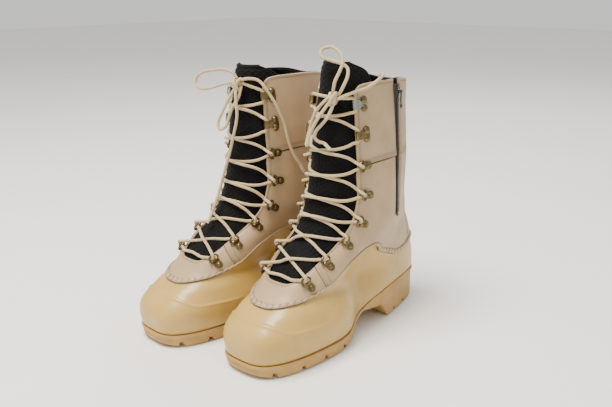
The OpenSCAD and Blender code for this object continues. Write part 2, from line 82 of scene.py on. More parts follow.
def run_along(points: Floats) -> Floats:
    """Distance along a line of points, from 0 at its first point."""
    return np.concatenate([[0], np.cumsum(np.linalg.norm(np.diff(points, axis=0), axis=1))])


def curve_through(knots: Sequence[float], values: Sequence[float], at: Floats) -> Floats:
    """Smooth curve through points: a cubic in each span whose end slopes are the means of the spans' slopes.

    Args:
        knots: Rising places of the points.
        values: The values there.
        at: Places to look up; outside the knots the end values hold.

    Returns:
        The curve's value at each place.
    """
    x, y = np.asarray(knots, float), np.asarray(values, float)
    step = np.diff(x)
    rise = np.diff(y) / step
    slope = np.concatenate(
        [[rise[0]], (rise[:-1] * step[1:] + rise[1:] * step[:-1]) / (step[1:] + step[:-1]), [rise[-1]]]
    )
    i = np.clip(np.searchsorted(x, at, side="right") - 1, 0, len(x) - 2)
    t = np.clip((at - x[i]) / step[i], 0.0, 1.0)
    bend = step[i] * t * (1 - t) * (slope[i] * (1 - t) - slope[i + 1] * t)
    return y[i] + (y[i + 1] - y[i]) * t * t * (3 - 2 * t) + bend


@dataclass(frozen=True)
class Last:
    """The outer surface of one boot, as a function of height and of the turn round it.

    turn is 0 at the front, 90 at the outer side, 180 at the heel and 270 at the inner side, in degrees.
    """

    heights: tuple[float, ...] = (0, 20, 45, 60, 75, 90, 105, 120, 145, 170, 200, 235, 265, 290, 320)
    fronts: tuple[float, ...] = (-150, -152, -149, -131, -104, -88, -70, -52, -34, -24, -18, -15, -10, -6, -4)
    backs: tuple[float, ...] = (152, 154, 152, 151, 149, 145, 140, 133, 126, 124, 124, 123, 121, 121, 121)
    ball_half: tuple[float, ...] = (52.5, 54, 55, 49, 42, 44, 46, 46, 46, 45, 43, 41, 38, 35, 34)
    heel_half: tuple[float, ...] = (37, 39, 41, 41, 40.5, 39, 38, 37, 37, 37.5, 38.5, 38, 36, 35.5, 35)
    ball_y: float = -47.0
    waist_y: float = 13.0
    waist_in: float = 15.0
    waist_run: float = 30.0

    def skin(self, z: Floats, turn: Floats) -> Floats:
        """Points of the surface: rounded-corner ovals, drawn in at the waist below the ankle.

        Args:
            z: Heights in mm.
            turn: Turns in degrees, of the same shape.

        Returns:
            Points in mm, with one more axis of length 3.
        """
        z, turn = np.broadcast_arrays(np.asarray(z, float), np.asarray(turn, float))
        front, back = (curve_through(self.heights, v, z) for v in (self.fronts, self.backs))
        ball, heel = (curve_through(self.heights, v, z) for v in (self.ball_half, self.heel_half))
        foot = 1 - ease((z - 60) / 80)
        mid = (front + back) / 2 + (self.ball_y - (front + back) / 2) * foot
        c, s = np.cos(np.radians(turn)), np.sin(np.radians(turn))
        y = np.where(c > 0, mid - (mid - front) * np.abs(c) ** 0.95, mid + (back - mid) * np.abs(c) ** 0.85)
        rear = ease(1.15 * (y - mid) / (back - mid))
        half = ball + (heel - ball) * rear - foot * self.waist_in * bump(y - self.waist_y, self.waist_run)
        x = np.sign(s) * np.abs(s) ** (0.9 - 0.3 * foot) * half
        return np.stack([x - foot * 0.5 * ease((-y - 20) / 120), y, z], axis=-1)

    def normal(self, z: Floats, turn: Floats) -> Floats:
        """Outward unit normals: the cross product of the surface's two slopes."""
        z, turn = np.broadcast_arrays(np.asarray(z, float), np.asarray(turn, float))
        n = np.cross(
            self.skin(z, turn + 1) - self.skin(z, turn - 1), self.skin(z + 1, turn) - self.skin(z - 1, turn)
        )
        return n / np.linalg.norm(n, axis=-1, keepdims=True)

    def at(self, z: Floats, turn: Floats, off: Floats) -> Floats:
        """Points off mm outside the surface."""
        return self.skin(z, turn) + np.asarray(off, float)[..., None] * self.normal(z, turn)


@dataclass(frozen=True)
class Stance:
    """Where one boot stands: its place on the floor in metres and its turn; the right boot is mirrored."""

    side: Side
    place: tuple[float, float]
    yaw: float

    # The steel strip in the sole lies on the boot's middle line, this far behind its origin
    SHANK_MIDDLE = 42.5

    @classmethod
    def of(cls, side: Side) -> "Stance":
        """Finds a boot's place from the strip of steel in its sole.

        Args:
            side: Which boot.

        Returns:
            The boot's stance.
        """
        low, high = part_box(f"{side.value}_shank")
        yaw = 0.0 if side is Side.LEFT else math.radians(-4)
        middle = (low + high) / 2
        arm = cls.SHANK_MIDDLE * MM
        return cls(side, (middle.x + math.sin(yaw) * arm, middle.y - math.cos(yaw) * arm), yaw)

    def put(self, points: Floats) -> Floats:
        """Points of the boot in mm, put into the shared frame in metres."""
        p = np.asarray(points, float) * MM
        x = -p[..., 0] if self.side is Side.RIGHT else p[..., 0]
        c, s = math.cos(self.yaw), math.sin(self.yaw)
        return np.stack(
            [self.place[0] + c * x - s * p[..., 1], self.place[1] + s * x + c * p[..., 1], p[..., 2]], -1
        )


# ---- meshes --------------------------------------------------------------------------------------------
@dataclass
class Surface:
    """Collects grids of points and closed outlines into one mesh."""

    points: list[Floats] = field(default_factory=list)
    loops: list[NDArray[np.int64]] = field(default_factory=list)
    sizes: list[NDArray[np.int64]] = field(default_factory=list)
    uvs: list[Floats] = field(default_factory=list)
    edge_and_shade_values: list[Floats] = field(default_factory=list)
    count: int = 0

    def grid(
        self,
        points: Floats,
        uv: Floats | None = None,
        wrap_rows: bool = False,
        wrap_cols: bool = False,
        keep: NDArray[np.bool_] | None = None,
        edge_and_shade: Floats | None = None,
    ) -> None:
        """Adds a grid of quads: cell (r, c) joins points (r, c), (r, c + 1), (r + 1, c + 1) and (r + 1, c).

        Args:
            points: Rows by columns by 3, in mm.
            uv: Pattern coordinates in mm, with one more row and column where the grid wraps.
            wrap_rows: Whether the last row joins the first.
            wrap_cols: Whether the last column joins the first.
            keep: Which cells are there, rows by columns of cells.
            edge_and_shade: One value for each point, read by materials as the attribute of that name: dark cut edges
                and painted shade.
        """
        rows, cols = points.shape[:2]
        r, c = np.meshgrid(
            np.arange(
                rows if wrap_rows else rows - 1
            ), np.arange(cols if wrap_cols else cols - 1), indexing="ij"
        )
        if keep is not None:
            r, c = r[keep], c[keep]
        corner_r = np.stack([r, r, r + 1, r + 1], -1).reshape(-1, 4)
        corner_c = np.stack([c, c + 1, c + 1, c], -1).reshape(-1, 4)
        if uv is None:
            uv = np.zeros((rows + 1, cols + 1, 2))
        self.points.append(points.reshape(-1, 3))
        self.loops.append(((corner_r % rows) * cols + corner_c % cols).reshape(-1) + self.count)
        self.sizes.append(np.full(len(corner_r), 4))
        self.uvs.append(uv[corner_r % uv.shape[0], corner_c % uv.shape[1]].reshape(-1, 2))
        self.edge_and_shade_values.append(np.zeros(rows * cols) if edge_and_shade is None else edge_and_shade.reshape(-1))
        self.count += rows * cols

    def face(self, ring: Floats) -> None:
        """Adds one flat many-sided face round a ring of corners in mm."""
        self.points.append(ring)
        self.loops.append(np.arange(len(ring)) + self.count)
        self.sizes.append(np.array([len(ring)]))
        self.uvs.append(np.zeros((len(ring), 2)))
        self.edge_and_shade_values.append(np.zeros(len(ring)))
        self.count += len(ring)

    def many(self, tubes: Floats) -> None:
        """Adds many short closed tubes at once.

        Args:
            tubes: Their rings, tubes by rings by points by 3, in mm; each end ring is closed by one face.
        """
        n, rings, sides = tubes.shape[:3]
        start = np.arange(n)[:, None, None] * rings * sides + self.count
        r, c = np.meshgrid(np.arange(rings - 1), np.arange(sides), indexing="ij")
        d = (c + 1) % sides
        quad = np.stack(
            [r * sides + c, r * sides + d, (r + 1) * sides + d, (r + 1) * sides + c], -1
        ).reshape(-1, 4)
        ends = np.stack([np.arange(sides), (rings - 1) * sides + np.arange(sides)])
        self.points.append(tubes.reshape(-1, 3))
        self.loops.append((quad[None] + start).reshape(-1))
        self.loops.append((ends[None] + start).reshape(-1))
        self.sizes += [np.full(n * len(quad), 4), np.full(n * 2, sides)]
        along = np.linspace(0, 2.5, rings)[:, None] * np.ones((1, sides))
        uv = np.stack([along, np.arange(sides) * 0.45 * np.ones((rings, 1))], -1).reshape(-1, 2)
        self.uvs += [np.tile(uv[quad.reshape(-1)], (n, 1)), np.zeros((n * 2 * sides, 2))]
        self.edge_and_shade_values.append(np.zeros(n * rings * sides))
        self.count += n * rings * sides

    def sheet(
        self,
        outer: Floats,
        inner: Floats,
        uv: Floats | None = None,
        wrap_cols: bool = False,
        keep: NDArray[np.bool_] | None = None,
        edge_and_shade: Floats | None = None,
    ) -> None:
        """Adds a closed sheet: an outer grid, an inner grid of the same shape, and walls along every border.

        Args:
            outer: Points of the outer face, rows by columns by 3.
            inner: Points of the inner face.
            uv: Pattern coordinates of both.
            wrap_cols: Whether the last column joins the first.
            keep: Which cells are there; walls also line each hole.
            edge_and_shade: One value for each point of the outer face: dark cut edges and painted shade.
        """
        rows, cols = outer.shape[:2]
        if keep is None:
            keep = np.ones((rows - 1, cols if wrap_cols else cols - 1), bool)
        self.grid(outer, uv, wrap_cols=wrap_cols, keep=keep, edge_and_shade=edge_and_shade)
        self.grid(inner, uv, wrap_cols=wrap_cols, keep=keep, edge_and_shade=edge_and_shade)
        ring = np.pad(keep, 1)
        if wrap_cols:
            ring[1:-1, 0], ring[1:-1, -1] = keep[:, -1], keep[:, 0]
        sides = ((ring[:-2, 1:-1], (0, 0), (0, 1)), (ring[2:, 1:-1], (1, 0), (1, 1)),
                 (ring[1:-1, :-2], (0, 0), (1, 0)), (ring[1:-1, 2:], (0, 1), (1, 1)))
        for beyond, start, end in sides:
            r, c = np.nonzero(keep & ~beyond)
            a, b = (r + start[0], (c + start[1]) % cols), (r + end[0], (c + end[1]) % cols)
            walls = np.stack([outer[a], outer[b], inner[b], inner[a]], 1)
            self.points.append(walls.reshape(-1, 3))
            self.loops.append(np.arange(len(r) * 4) + self.count)
            self.sizes.append(np.full(len(r), 4))
            self.uvs.append(np.zeros((len(r) * 4, 2)))
            self.edge_and_shade_values.append(np.zeros(len(r) * 4))
            self.count += len(r) * 4

    def build(
        self, name: str, stance: Stance, material: bpy.types.Material, merge: float = 0.004, sharp: float = 50
    ) -> bpy.types.Object:
        """Makes the mesh object, in metres, at the origin, with its faces outwards.

        Args:
            name: The piece's name.
            stance: Where its boot stands.
            material: Its finish.
            merge: Points nearer than this, in mm, become one.
            sharp: Edges that turn by more than this many degrees are shown sharp.

        Returns:
            The new object.
        """
        mesh = bpy.data.meshes.new(name)
        points = stance.put(np.concatenate(self.points)).astype(np.float32)
        loops, sizes = np.concatenate(self.loops), np.concatenate(self.sizes)
        mesh.vertices.add(len(points))
        mesh.vertices.foreach_set("co", points.ravel())
        mesh.loops.add(len(loops))
        mesh.loops.foreach_set("vertex_index", loops.astype(np.int32))
        mesh.polygons.add(len(sizes))
        mesh.polygons.foreach_set("loop_start", np.concatenate([[0], np.cumsum(sizes)[:-1]]).astype(np.int32))
        mesh.update(calc_edges=True)
        mesh.uv_layers.new(name="UVMap").data.foreach_set(
            "uv", np.concatenate(self.uvs).astype(np.float32).ravel()
        )
        edge_and_shade = mesh.attributes.new("edge_and_shade", "FLOAT", "POINT")
        edge_and_shade.data.foreach_set("value", np.concatenate(self.edge_and_shade_values).astype(np.float32))
        work = bmesh.new()
        work.from_mesh(mesh)
        bmesh.ops.remove_doubles(work, verts=work.verts, dist=merge * MM)
        bmesh.ops.recalc_face_normals(work, faces=work.faces)
        work.to_mesh(mesh)
        work.free()
        mesh.validate()
        mesh.shade_smooth()
        mesh.set_sharp_from_angle(angle=math.radians(sharp))
        mesh.materials.append(material)
        piece = bpy.data.objects.new(name, mesh)
        bpy.context.scene.collection.objects.link(piece)
        return piece


def smooth_route(points: Floats, step: float = 1.0) -> Floats:
    """Smooth curve through points, evenly spaced.

    Each span is a cubic whose end slopes are half the chord between its neighbours, divided by the root of the
    spans' lengths (a centripetal curve), then the whole is cut again into equal lengths.

    Args:
        points: The points to go through, in mm.
        step: Distance between the new points.

    Returns:
        The new points.
    """
    p = np.asarray(points, float)
    p = np.concatenate([[2 * p[0] - p[1]], p, [2 * p[-1] - p[-2]]])
    knot = np.concatenate([[0], np.cumsum(np.sqrt(np.linalg.norm(np.diff(p, axis=0), axis=1)) + 1e-6)])
    u = np.linspace(0, 1, 24, endpoint=False)[:, None, None]
    a, b, c, d = p[:-3], p[1:-2], p[2:-1], p[3:]
    ka, kb, kc, kd = (knot[i : len(p) - 3 + i, None] for i in range(4))
    t = kb + u * (kc - kb)
    ab = (kb - t) / (kb - ka) * a + (t - ka) / (kb - ka) * b
    bc = (kc - t) / (kc - kb) * b + (t - kb) / (kc - kb) * c
    cd = (kd - t) / (kd - kc) * c + (t - kc) / (kd - kc) * d
    abc = (kc - t) / (kc - ka) * ab + (t - ka) / (kc - ka) * bc
    bcd = (kd - t) / (kd - kb) * bc + (t - kb) / (kd - kb) * cd
    fine = ((kc - t) / (kc - kb) * abc + (t - kb) / (kc - kb) * bcd).transpose(1, 0, 2).reshape(-1, 3)
    fine = np.concatenate([fine, p[-2:-1]])
    return respaced(fine, step)


def respaced(line: Floats, step: float) -> Floats:
    """Cuts a line of points into equal lengths of about step, keeping its ends."""
    run = run_along(line)
    even = np.linspace(0, run[-1], max(2, round(run[-1] / step) + 1))
    return np.stack([np.interp(even, run, line[:, k]) for k in range(3)], -1)


def frames_along(route: Floats, closed: bool = False) -> tuple[Floats, Floats, Floats]:
    """Directions that go along a route without twisting.

    Args:
        route: Its points.
        closed: Whether its end joins its start.

    Returns:
        Unit headings, and two unit directions square to them, at each point.
    """
    if closed:
        ahead = np.roll(route, -1, 0) - np.roll(route, 1, 0)
    else:
        ahead = np.gradient(route, axis=0)
    heading = ahead / np.linalg.norm(ahead, axis=1, keepdims=True)
    first = np.array([0.0, 0, 1]) if abs(heading[0, 2]) < 0.8 else np.array([0.0, 1, 0])
    normals = np.empty_like(route)
    n = first
    for i, t in enumerate(heading):
        n = n - (n @ t) * t
        n = n / np.linalg.norm(n)
        normals[i] = n
    side = np.cross(heading, normals)
    if closed:
        # What the walk turned by is taken out evenly along the loop, so that the ends meet
        n = normals[-1] - (normals[-1] @ heading[0]) * heading[0]
        twist = math.atan2(float(n @ side[0]), float(n @ normals[0]))
        a = -twist * np.arange(len(route))[:, None] / len(route)
        normals, side = np.cos(a) * normals + np.sin(a) * side, np.cos(a) * side - np.sin(a) * normals
    return heading, normals, side


def add_tube(
    surface: Surface, route: Floats, radius: Floats | float, sides: int = 12, closed: bool = False,
    relief: Callable[[Floats, Floats], Floats] | None = None
) -> None:
    """Adds a round tube: circles of the radius, square to the route.

    Args:
        surface: What to add it to.
        route: Centreline in mm.
        radius: One radius, or one at each point.
        sides: Points in a circle.
        closed: Whether the route's end joins its start.
        relief: Gives what is added to the radius, from the distance along and the turn, in mm and radians.
    """
    _, n, b = frames_along(route, closed)
    a = np.linspace(0, 2 * np.pi, sides, endpoint=False)
    run = run_along(route)
    r = np.broadcast_to(np.asarray(radius, float), (len(route),))[:, None] + np.zeros((1, sides))
    if relief is not None:
        r = r + relief(run[:, None], a[None, :])
    rings = route[:, None] + r[..., None] * (
        np.cos(a)[None, :, None] * n[:, None] + np.sin(a)[None, :, None] * b[:, None]
    )
    width = 2 * np.pi * float(np.mean(r)) * np.linspace(0, 1, sides + 1)
    length = np.append(run, run[-1] + 1)
    uv = np.stack(np.broadcast_arrays(length[:, None], width[None, :]), -1)
    surface.grid(rings, uv, wrap_rows=closed, wrap_cols=True)
    if not closed:
        surface.face(rings[0])
        surface.face(rings[-1])


def add_plate(
    surface: Surface, outline: Floats, place: Callable[[Floats], Floats], low: float, high: float,
    bevel: float = 0.25
) -> None:
    """Adds a flat plate with eased edges: its outline, drawn in a little at the bottom and the top.

    Args:
        surface: What to add it to.
        outline: Points (a, b) anticlockwise in the plate's plane.
        place: Puts points (a, b, c) into the boot's place, c across the plate.
        low: Lower face.
        high: Upper face.
        bevel: Size of the eased edge.
    """
    ahead = np.roll(outline, -1, 0) - np.roll(outline, 1, 0)
    out = np.stack([ahead[:, 1], -ahead[:, 0]], -1) / np.linalg.norm(ahead, axis=1, keepdims=True)
    levels = [
        (low, -bevel), (low + 0.3 * bevel, -0.3 * bevel), (low + bevel, 0.0), (high - bevel, 0.0),
        (high - 0.3 * bevel, -0.3 * bevel), (high, -bevel)
    ]
    rings = np.stack(
        [
            place(np.concatenate([outline + grow * out, np.full((len(outline), 1), c)], 1)) for c,
            grow in levels
        ]
    )
    surface.grid(rings, wrap_cols=True)
    surface.face(rings[0])
    surface.face(rings[-1])


# ---- finishes ------------------------------------------------------------------------------------------
def linear(colour: str) -> tuple[float, float, float, float]:
    """Turns an sRGB hex colour such as "#D8C9B0" into linear red, green, blue and alpha."""
    parts = [int(colour[i : i + 2], 16) / 255 for i in (1, 3, 5)]
    red, green, blue = (p / 12.92 if p <= 0.04045 else ((p + 0.055) / 1.055) ** 2.4 for p in parts)
    return red, green, blue, 1.0


def add_node(
    tree: bpy.types.NodeTree, kind: str, links: dict[str | int, bpy.types.NodeSocket] | None = None,
    values: dict[str | int, object] | None = None, **settings: object
) -> bpy.types.Node:
    """Adds a shader node.

    Args:
        tree: The material's tree.
        kind: The node's type, without its ShaderNode prefix.
        links: Which output feeds which input.
        values: Constant values of inputs.
        **settings: The node's own properties.

    Returns:
        The node.
    """
    node = tree.nodes.new(f"ShaderNode{kind}")
    for key, value in settings.items():
        setattr(node, key, value)
    for key, value in (values or {}).items():
        node.inputs[key].default_value = value
    for key, source in (links or {}).items():
        tree.links.new(source, node.inputs[key])
    return node


def mix_colours(
    tree: bpy.types.NodeTree, share: bpy.types.NodeSocket, low: bpy.types.NodeSocket | str, high: bpy.types.NodeSocket | str
) -> bpy.types.NodeSocket:
    """Mixes two colours, each a socket or an sRGB hex, by a share from 0 to 1."""
    node = add_node(tree, "Mix", {0: share}, data_type="RGBA")
    for place, colour in ((6, low), (7, high)):
        if isinstance(colour, str):
            node.inputs[place].default_value = linear(colour)
        else:
            tree.links.new(colour, node.inputs[place])
    return node.outputs[2]


@dataclass(frozen=True)
class Finish:
    """A finish: two colours that drift into each other, a fine pattern whose hollows are painted darker as shade
    (on the brass they are its patina), and a dark colour for cut edges and painted shade.

    The pattern of the plain finish is a fine even noise, as on moulded or pressed stuff.
    """

    name: str
    colour: str
    drift: str
    hollow: str
    roughness: float = 0.5
    # Colour for dark cut edges and painted shade where the attribute marks them; the hollow colour when empty
    dark_edges_and_shade: str = ""
    roughness_drift: float = 0.06
    metallic: float = 0.0
    sheen: float = 0.0
    coat: float = 0.0
    drift_mm: float = 24.0
    grain_mm: float = 0.6
    grain_depth_mm: float = 0.03
    grain_shade: float = 0.15
    ior: float = 1.5

    def place(self, tree: bpy.types.NodeTree) -> bpy.types.NodeSocket:
        """Where the pattern is read: the piece's own coordinates, in metres."""
        return add_node(tree, "TexCoord").outputs["Object"]

    def noise(self, tree: bpy.types.NodeTree, size_mm: float, detail: float = 3.0) -> bpy.types.NodeSocket:
        """A cloudy noise whose patches are size_mm across."""
        return add_node(
            tree, "TexNoise", {"Vector": add_node(tree, "TexCoord").outputs["Object"]},
            {"Scale": 1000 / size_mm, "Detail": detail, "Roughness": 0.55},
        ).outputs["Fac"]

    def pattern(self, tree: bpy.types.NodeTree) -> bpy.types.NodeSocket:
        """The fine pattern's height, from 0 in its hollows to 1."""
        return self.noise(tree, self.grain_mm, 2.0)

    def make(self) -> bpy.types.Material:
        """Makes the material: colour from drift, from the pattern's painted shade and from the attribute of dark
        edges and painted shade; roughness from drift, bump from the pattern.

        Returns:
            The new material.
        """
        material = bpy.data.materials.new(self.name)
        material.use_nodes = True
        tree = material.node_tree
        tree.nodes.clear()
        patches = add_node(
            tree, "MapRange", {"Value": self.noise(tree, self.drift_mm)}, {"From Min": 0.35, "From Max": 0.65}
        ).outputs["Result"]
        height = self.pattern(tree)
        # Painted shade: the pattern's hollows are mixed towards the hollow colour; on the brass that colour is its own
        # patina
        low = add_node(
            tree, "MapRange", {"Value": height}, {"To Min": self.grain_shade, "To Max": 0.0}
        ).outputs["Result"]
        # The attribute marks darker cut edges and painted shade: seam dips, the band's holes, pinches, groove and
        # lower edge, and the net's hollows
        dark_edges_and_shade = add_node(tree, "Attribute", attribute_name="edge_and_shade").outputs["Fac"]
        colour = mix_colours(tree, patches, self.colour, self.drift)
        colour = mix_colours(tree, low, colour, self.hollow)
        colour = mix_colours(tree, dark_edges_and_shade, colour, self.dark_edges_and_shade or self.hollow)
        rough = add_node(
            tree, "MapRange", {"Value": patches},
            {
                "To Min": self.roughness - self.roughness_drift,
                "To Max": self.roughness + self.roughness_drift
            },
        ).outputs["Result"]
        bump = add_node(
            tree, "Bump", {"Height": height}, {"Strength": 1.0, "Distance": self.grain_depth_mm * MM}
        )
        shader = add_node(
            tree, "BsdfPrincipled", {
                "Base Color": colour, "Roughness": rough, "Normal": bump.outputs["Normal"]
            },
            {
                "Metallic": self.metallic, "Coat Weight": self.coat, "Sheen Weight": self.sheen,
                "IOR": self.ior
            },
        )
        add_node(tree, "OutputMaterial", {"Surface": shader.outputs["BSDF"]})
        return material


@dataclass(frozen=True)
class Leather(Finish):
    """Finished leather: small irregular pebbles with soft valleys between them."""

    def pattern(self, tree: bpy.types.NodeTree) -> bpy.types.NodeSocket:
        """Pebbles: the distance to the nearest cell's centre, taken from 1, stirred with a fine noise."""
        cells = add_node(
            tree, "TexVoronoi", {"Vector": self.place(tree)}, {
                "Scale": 1000 / self.grain_mm
            }, feature="SMOOTH_F1"
        ).outputs["Distance"]
        pebble = add_node(tree, "MapRange", {"Value": cells}, {"From Max": 0.8, "To Min": 1.0, "To Max": 0.0})
        fine = self.noise(tree, self.grain_mm * 0.45, 2.0)
        return add_node(tree, "Mix", {2: pebble.outputs["Result"], 3: fine}, {0: 0.35}).outputs[0]


@dataclass(frozen=True)
class Braid(Finish):
    """A braided or woven stuff: two sets of ribs that cross along the piece's own length."""

    rib_mm: float = 0.9
    angle: float = 52.0

    def pattern(self, tree: bpy.types.NodeTree) -> bpy.types.NodeSocket:
        """The higher of two waves, one at each slant to the piece's length."""
        where = add_node(tree, "UVMap", uv_map="UVMap").outputs["UV"]
        waves = []
        for slant in (self.angle, -self.angle):
            turned = add_node(tree, "Mapping", {"Vector": where}, {"Rotation": (0, 0, math.radians(slant))})
            # A band wave repeats every 2 pi / (20 scale)
            wave = add_node(
                tree, "TexWave", {"Vector": turned.outputs["Vector"]}, {"Scale": math.pi / 10 / self.rib_mm}
            )
            waves.append(wave.outputs["Fac"])
        return add_node(tree, "Math", {0: waves[0], 1: waves[1]}, operation="MULTIPLY").outputs[0]


@dataclass(frozen=True)
class Brushed(Finish):
    """A worn metal: fine scratches one way over soft blotches."""

    def pattern(self, tree: bpy.types.NodeTree) -> bpy.types.NodeSocket:
        """A noise stretched twelve times along one direction."""
        longer = add_node(tree, "Mapping", {"Vector": self.place(tree)}, {"Scale": (1.0, 1.0, 1 / 12)})
        return add_node(
            tree, "TexNoise", {"Vector": longer.outputs["Vector"]}, {
                "Scale": 1000 / self.grain_mm, "Detail": 3.0
            }
        ).outputs["Fac"]


class Stuff(Enum):
    """Every finish on the pair."""

    # In each finish the third colour is painted into its pattern's hollows as shade; only the brass's is its own
    # patina
    # Thick natural rubber, moulded: matt, slightly translucent cream, with a fine pebble from the mould
    SOLE = Finish(
        "moulded natural rubber tread", "#B99354", "#AC874A", "#684F2C", 0.58, grain_mm=1.1, grain_depth_mm=0.05)
    # The shell is the same rubber from a smoother mould, with a low satin gloss
    SHELL = Finish(
        "satin moulded rubber shell", "#BF9D55", "#B4934C", "#756031", 0.36, drift_mm=45.0, grain_mm=0.8,
        grain_depth_mm=0.012, grain_shade=0.06, coat=0.12,
    )
    # Corrected-grain leather: off-white with a low sheen, with painted shade in its pores; its dark brown is for
    # cut edges and for shade painted into seam dips and the band's holes, pinches and groove
    LEATHER = Leather(
        "finished grain leather", "#B49A77", "#A98F6D", "#6E5A41", 0.47, dark_edges_and_shade="#2C1D13", drift_mm=38.0,
        grain_mm=1.5, grain_depth_mm=0.05, grain_shade=0.16,
    )
    # Waxed thread: a two-ply twist that catches the light
    THREAD = Braid(
        "waxed polyester thread", "#A48B66", "#97805C", "#5F4C33", 0.5, grain_depth_mm=0.05, grain_shade=0.5,
        rib_mm=0.6)
    # Coarse knitted net over foam: black, with a dull fibre sheen
    NET = Leather(
        "black knitted net", "#070708", "#050505", "#010101", 0.82, sheen=0.03, grain_mm=0.9, grain_depth_mm=0.12,
        grain_shade=0.6, ior=1.25,
    )
    # Brushed knit lining: black and hairy, so it only shows by its sheen
    LINING = Leather(
        "brushed knit lining", "#080809", "#060606", "#020202", 0.9, sheen=0.04, grain_mm=0.7, grain_depth_mm=0.1,
        grain_shade=0.5, ior=1.25,
    )
    # Felt on a moulded foam bed
    FELT = Leather(
        "grey wool felt", "#3B3A38", "#302F2E", "#151515", 0.92, sheen=0.5, grain_mm=1.2,
        grain_depth_mm=0.15, grain_shade=0.5
    )
    # Woven tape of the zip
    TAPE = Braid(
        "woven polyester tape", "#1B1B1C", "#141415", "#070707", 0.75, sheen=0.2, grain_depth_mm=0.08,
        grain_shade=0.5, rib_mm=0.7, angle=45.0
    )
    # Moulded acetal teeth: black with a soft gloss
    TEETH = Finish(
        "moulded acetal", "#1C1C1D", "#151516", "#080808", 0.38, grain_mm=0.4, grain_depth_mm=0.008
    )
    # Zinc casting under black enamel: glossy, thin on its edges
    ENAMEL = Finish(
        "black enamel on zinc", "#1A1918", "#232120", "#0C0B0B", 0.28, grain_mm=0.5, grain_depth_mm=0.008,
        coat=0.5
    )
    # Brass with a baked brown patina that is rubbed off where it wears
    BRASS = Brushed(
        "antiqued brass", "#8A7A55", "#6A5A3C", "#2C241A", 0.34, roughness_drift=0.12, metallic=1.0, drift_mm=4.0,
        grain_mm=0.35, grain_depth_mm=0.01, grain_shade=0.35)
    # Steel strap under a grey phosphate coat
    STEEL = Brushed(
        "phosphated steel", "#9DA8A2", "#87928E", "#4B5250", 0.42, metallic=1.0, drift_mm=5.0,
        grain_mm=0.35, grain_depth_mm=0.01, grain_shade=0.25
    )
    # Braided cotton round cord: sixteen strands round a core
    LACE = Braid(
        "braided cotton cord", "#D8C39B", "#CDB78E", "#8B7750", 0.78, sheen=0.2, grain_depth_mm=0.16,
        grain_shade=0.5, rib_mm=0.95)
    # Cord end shrunk into clear film
    TIP = Braid(
        "film on cotton cord", "#DCCDB0", "#D2C2A3", "#94835F", 0.3, grain_depth_mm=0.04, grain_shade=0.35,
        rib_mm=0.95, coat=0.6
    )
    # Inside parts
    BOARD = Finish(
        "pressed fibreboard", "#A48C64", "#927B55", "#5C4A30", 0.85, grain_mm=0.5, grain_depth_mm=0.06,
        grain_shade=0.4
    )
    SPRING = Brushed(
        "stamped spring steel", "#A8AAAC", "#8E9193", "#4A4C4E", 0.4, metallic=1.0, drift_mm=8.0,
        grain_mm=0.3, grain_depth_mm=0.01
    )
    COUNTER = Finish(
        "moulded polypropylene", "#8A8884", "#7E7C78", "#4A4947", 0.55, grain_mm=0.7, grain_depth_mm=0.02
    )

    @property
    def material(self) -> bpy.types.Material:
        """The finish's material, made the first time it is asked for."""
        return bpy.data.materials.get(self.value.name) or self.value.make()


def belongs(
    piece: bpy.types.Object, body: str, nodes: Sequence[str] = ()
) -> bpy.types.Object:
    """Ties a piece to the body it moves with, and hides the plain solids it stands for."""
    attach(piece, body)
    if nodes:
        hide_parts(*nodes)
    faces = len(piece.data.polygons) if piece.type == "MESH" else 0
    log.info("%s: %d faces, on %s", piece.name, faces, body)
    return piece


@dataclass
class Boot:
    """What every sub-assembly of one boot shares: its stance, its last and its name."""

    stance: Stance
    last: Last = field(default_factory=Last)

    @property
    def side(self) -> str:
        """The boot's side as it stands in names."""
        return self.stance.side.value

    def finish(
        self, surface: Surface, name: str, stuff: Stuff, slot: str, nodes: Sequence[str] = (), body: str = "boot",
        merge: float = 0.004, sharp: float = 50,
    ) -> bpy.types.Object:
        """Builds one piece of this boot and ties it to its body.

        Args:
            surface: Its shape.
            name: The piece's name without the side.
            stuff: Its finish.
            slot: Not used.
            nodes: The plain solids it stands for, without the side.
            body: The body it moves with, without the side.
            merge: Points nearer than this, in mm, become one.
            sharp: Edges that turn by more than this many degrees are shown sharp.

        Returns:
            The new object.
        """
        piece = surface.build(f"{self.side}_{name}", self.stance, stuff.material, merge, sharp)
        return belongs(piece, f"{self.side}_{body}", [f"{self.side}_{n}" for n in nodes])


# ---- lace ------------------------------------------------------------------------------------------------
@dataclass(frozen=True)
class FreeEnd:
    """A loop or a loose end of the bow: its name, its points, and its moulded tip if it has one."""

    name: str
    route: tuple[tuple[float, float, float], ...]
    tip: tuple[tuple[float, float, float], ...] = ()
    lay: str = "loose"


LEFT_BOW = (
    FreeEnd("upright_loop", (
        (13.5, -12, 288), (
            17, -13.5, 299.5
        ), (20, -9, 310.7), (20, -3.5, 320.7), (14, -1.5, 329.5), (3, -3, 335),
        (-5, -10, 331.5), (-2, -13, 325.5), (8, -9.5, 321.7), (18, -5.5, 319), (25, -2, 314), (27, -4, 306),
        (24.5, -8, 295.5), (18.5, -8.5, 285.5))),
    FreeEnd("hanging_loop", (
        (9, -14, 282.5), (4, -19, 276), (-2, -22, 268), (-6, -24, 258), (-9, -25, 247), (-11, -27, 237),
        (-9, -31, 231), (-3, -35, 233), (-1, -35, 242), (3, -31, 255), (8, -25, 267), (11.5, -15.5, 278)), lay="hanging"),
    FreeEnd("collar_end", (
        (19.5, -12, 281.5), (27, -5, 286), (31, 8, 289), (35, 21, 292), (38, 34, 298), (38, 45, 303),
        (34, 52, 303.5), (28, 55, 302), (24.4, 57, 295), (24.2, 58, 286)), ((24.2, 58, 286), (24, 59, 272))),
    FreeEnd("short_end", (
        (16, -14, 277), (15, -18, 269), (12, -21, 261), (6, -24, 253), (0, -25, 246), (-1, -26, 239),
        (4, -25, 235), (10, -23, 234)), ((10, -23, 234), (18, -21.5, 227)), "hanging"),
)
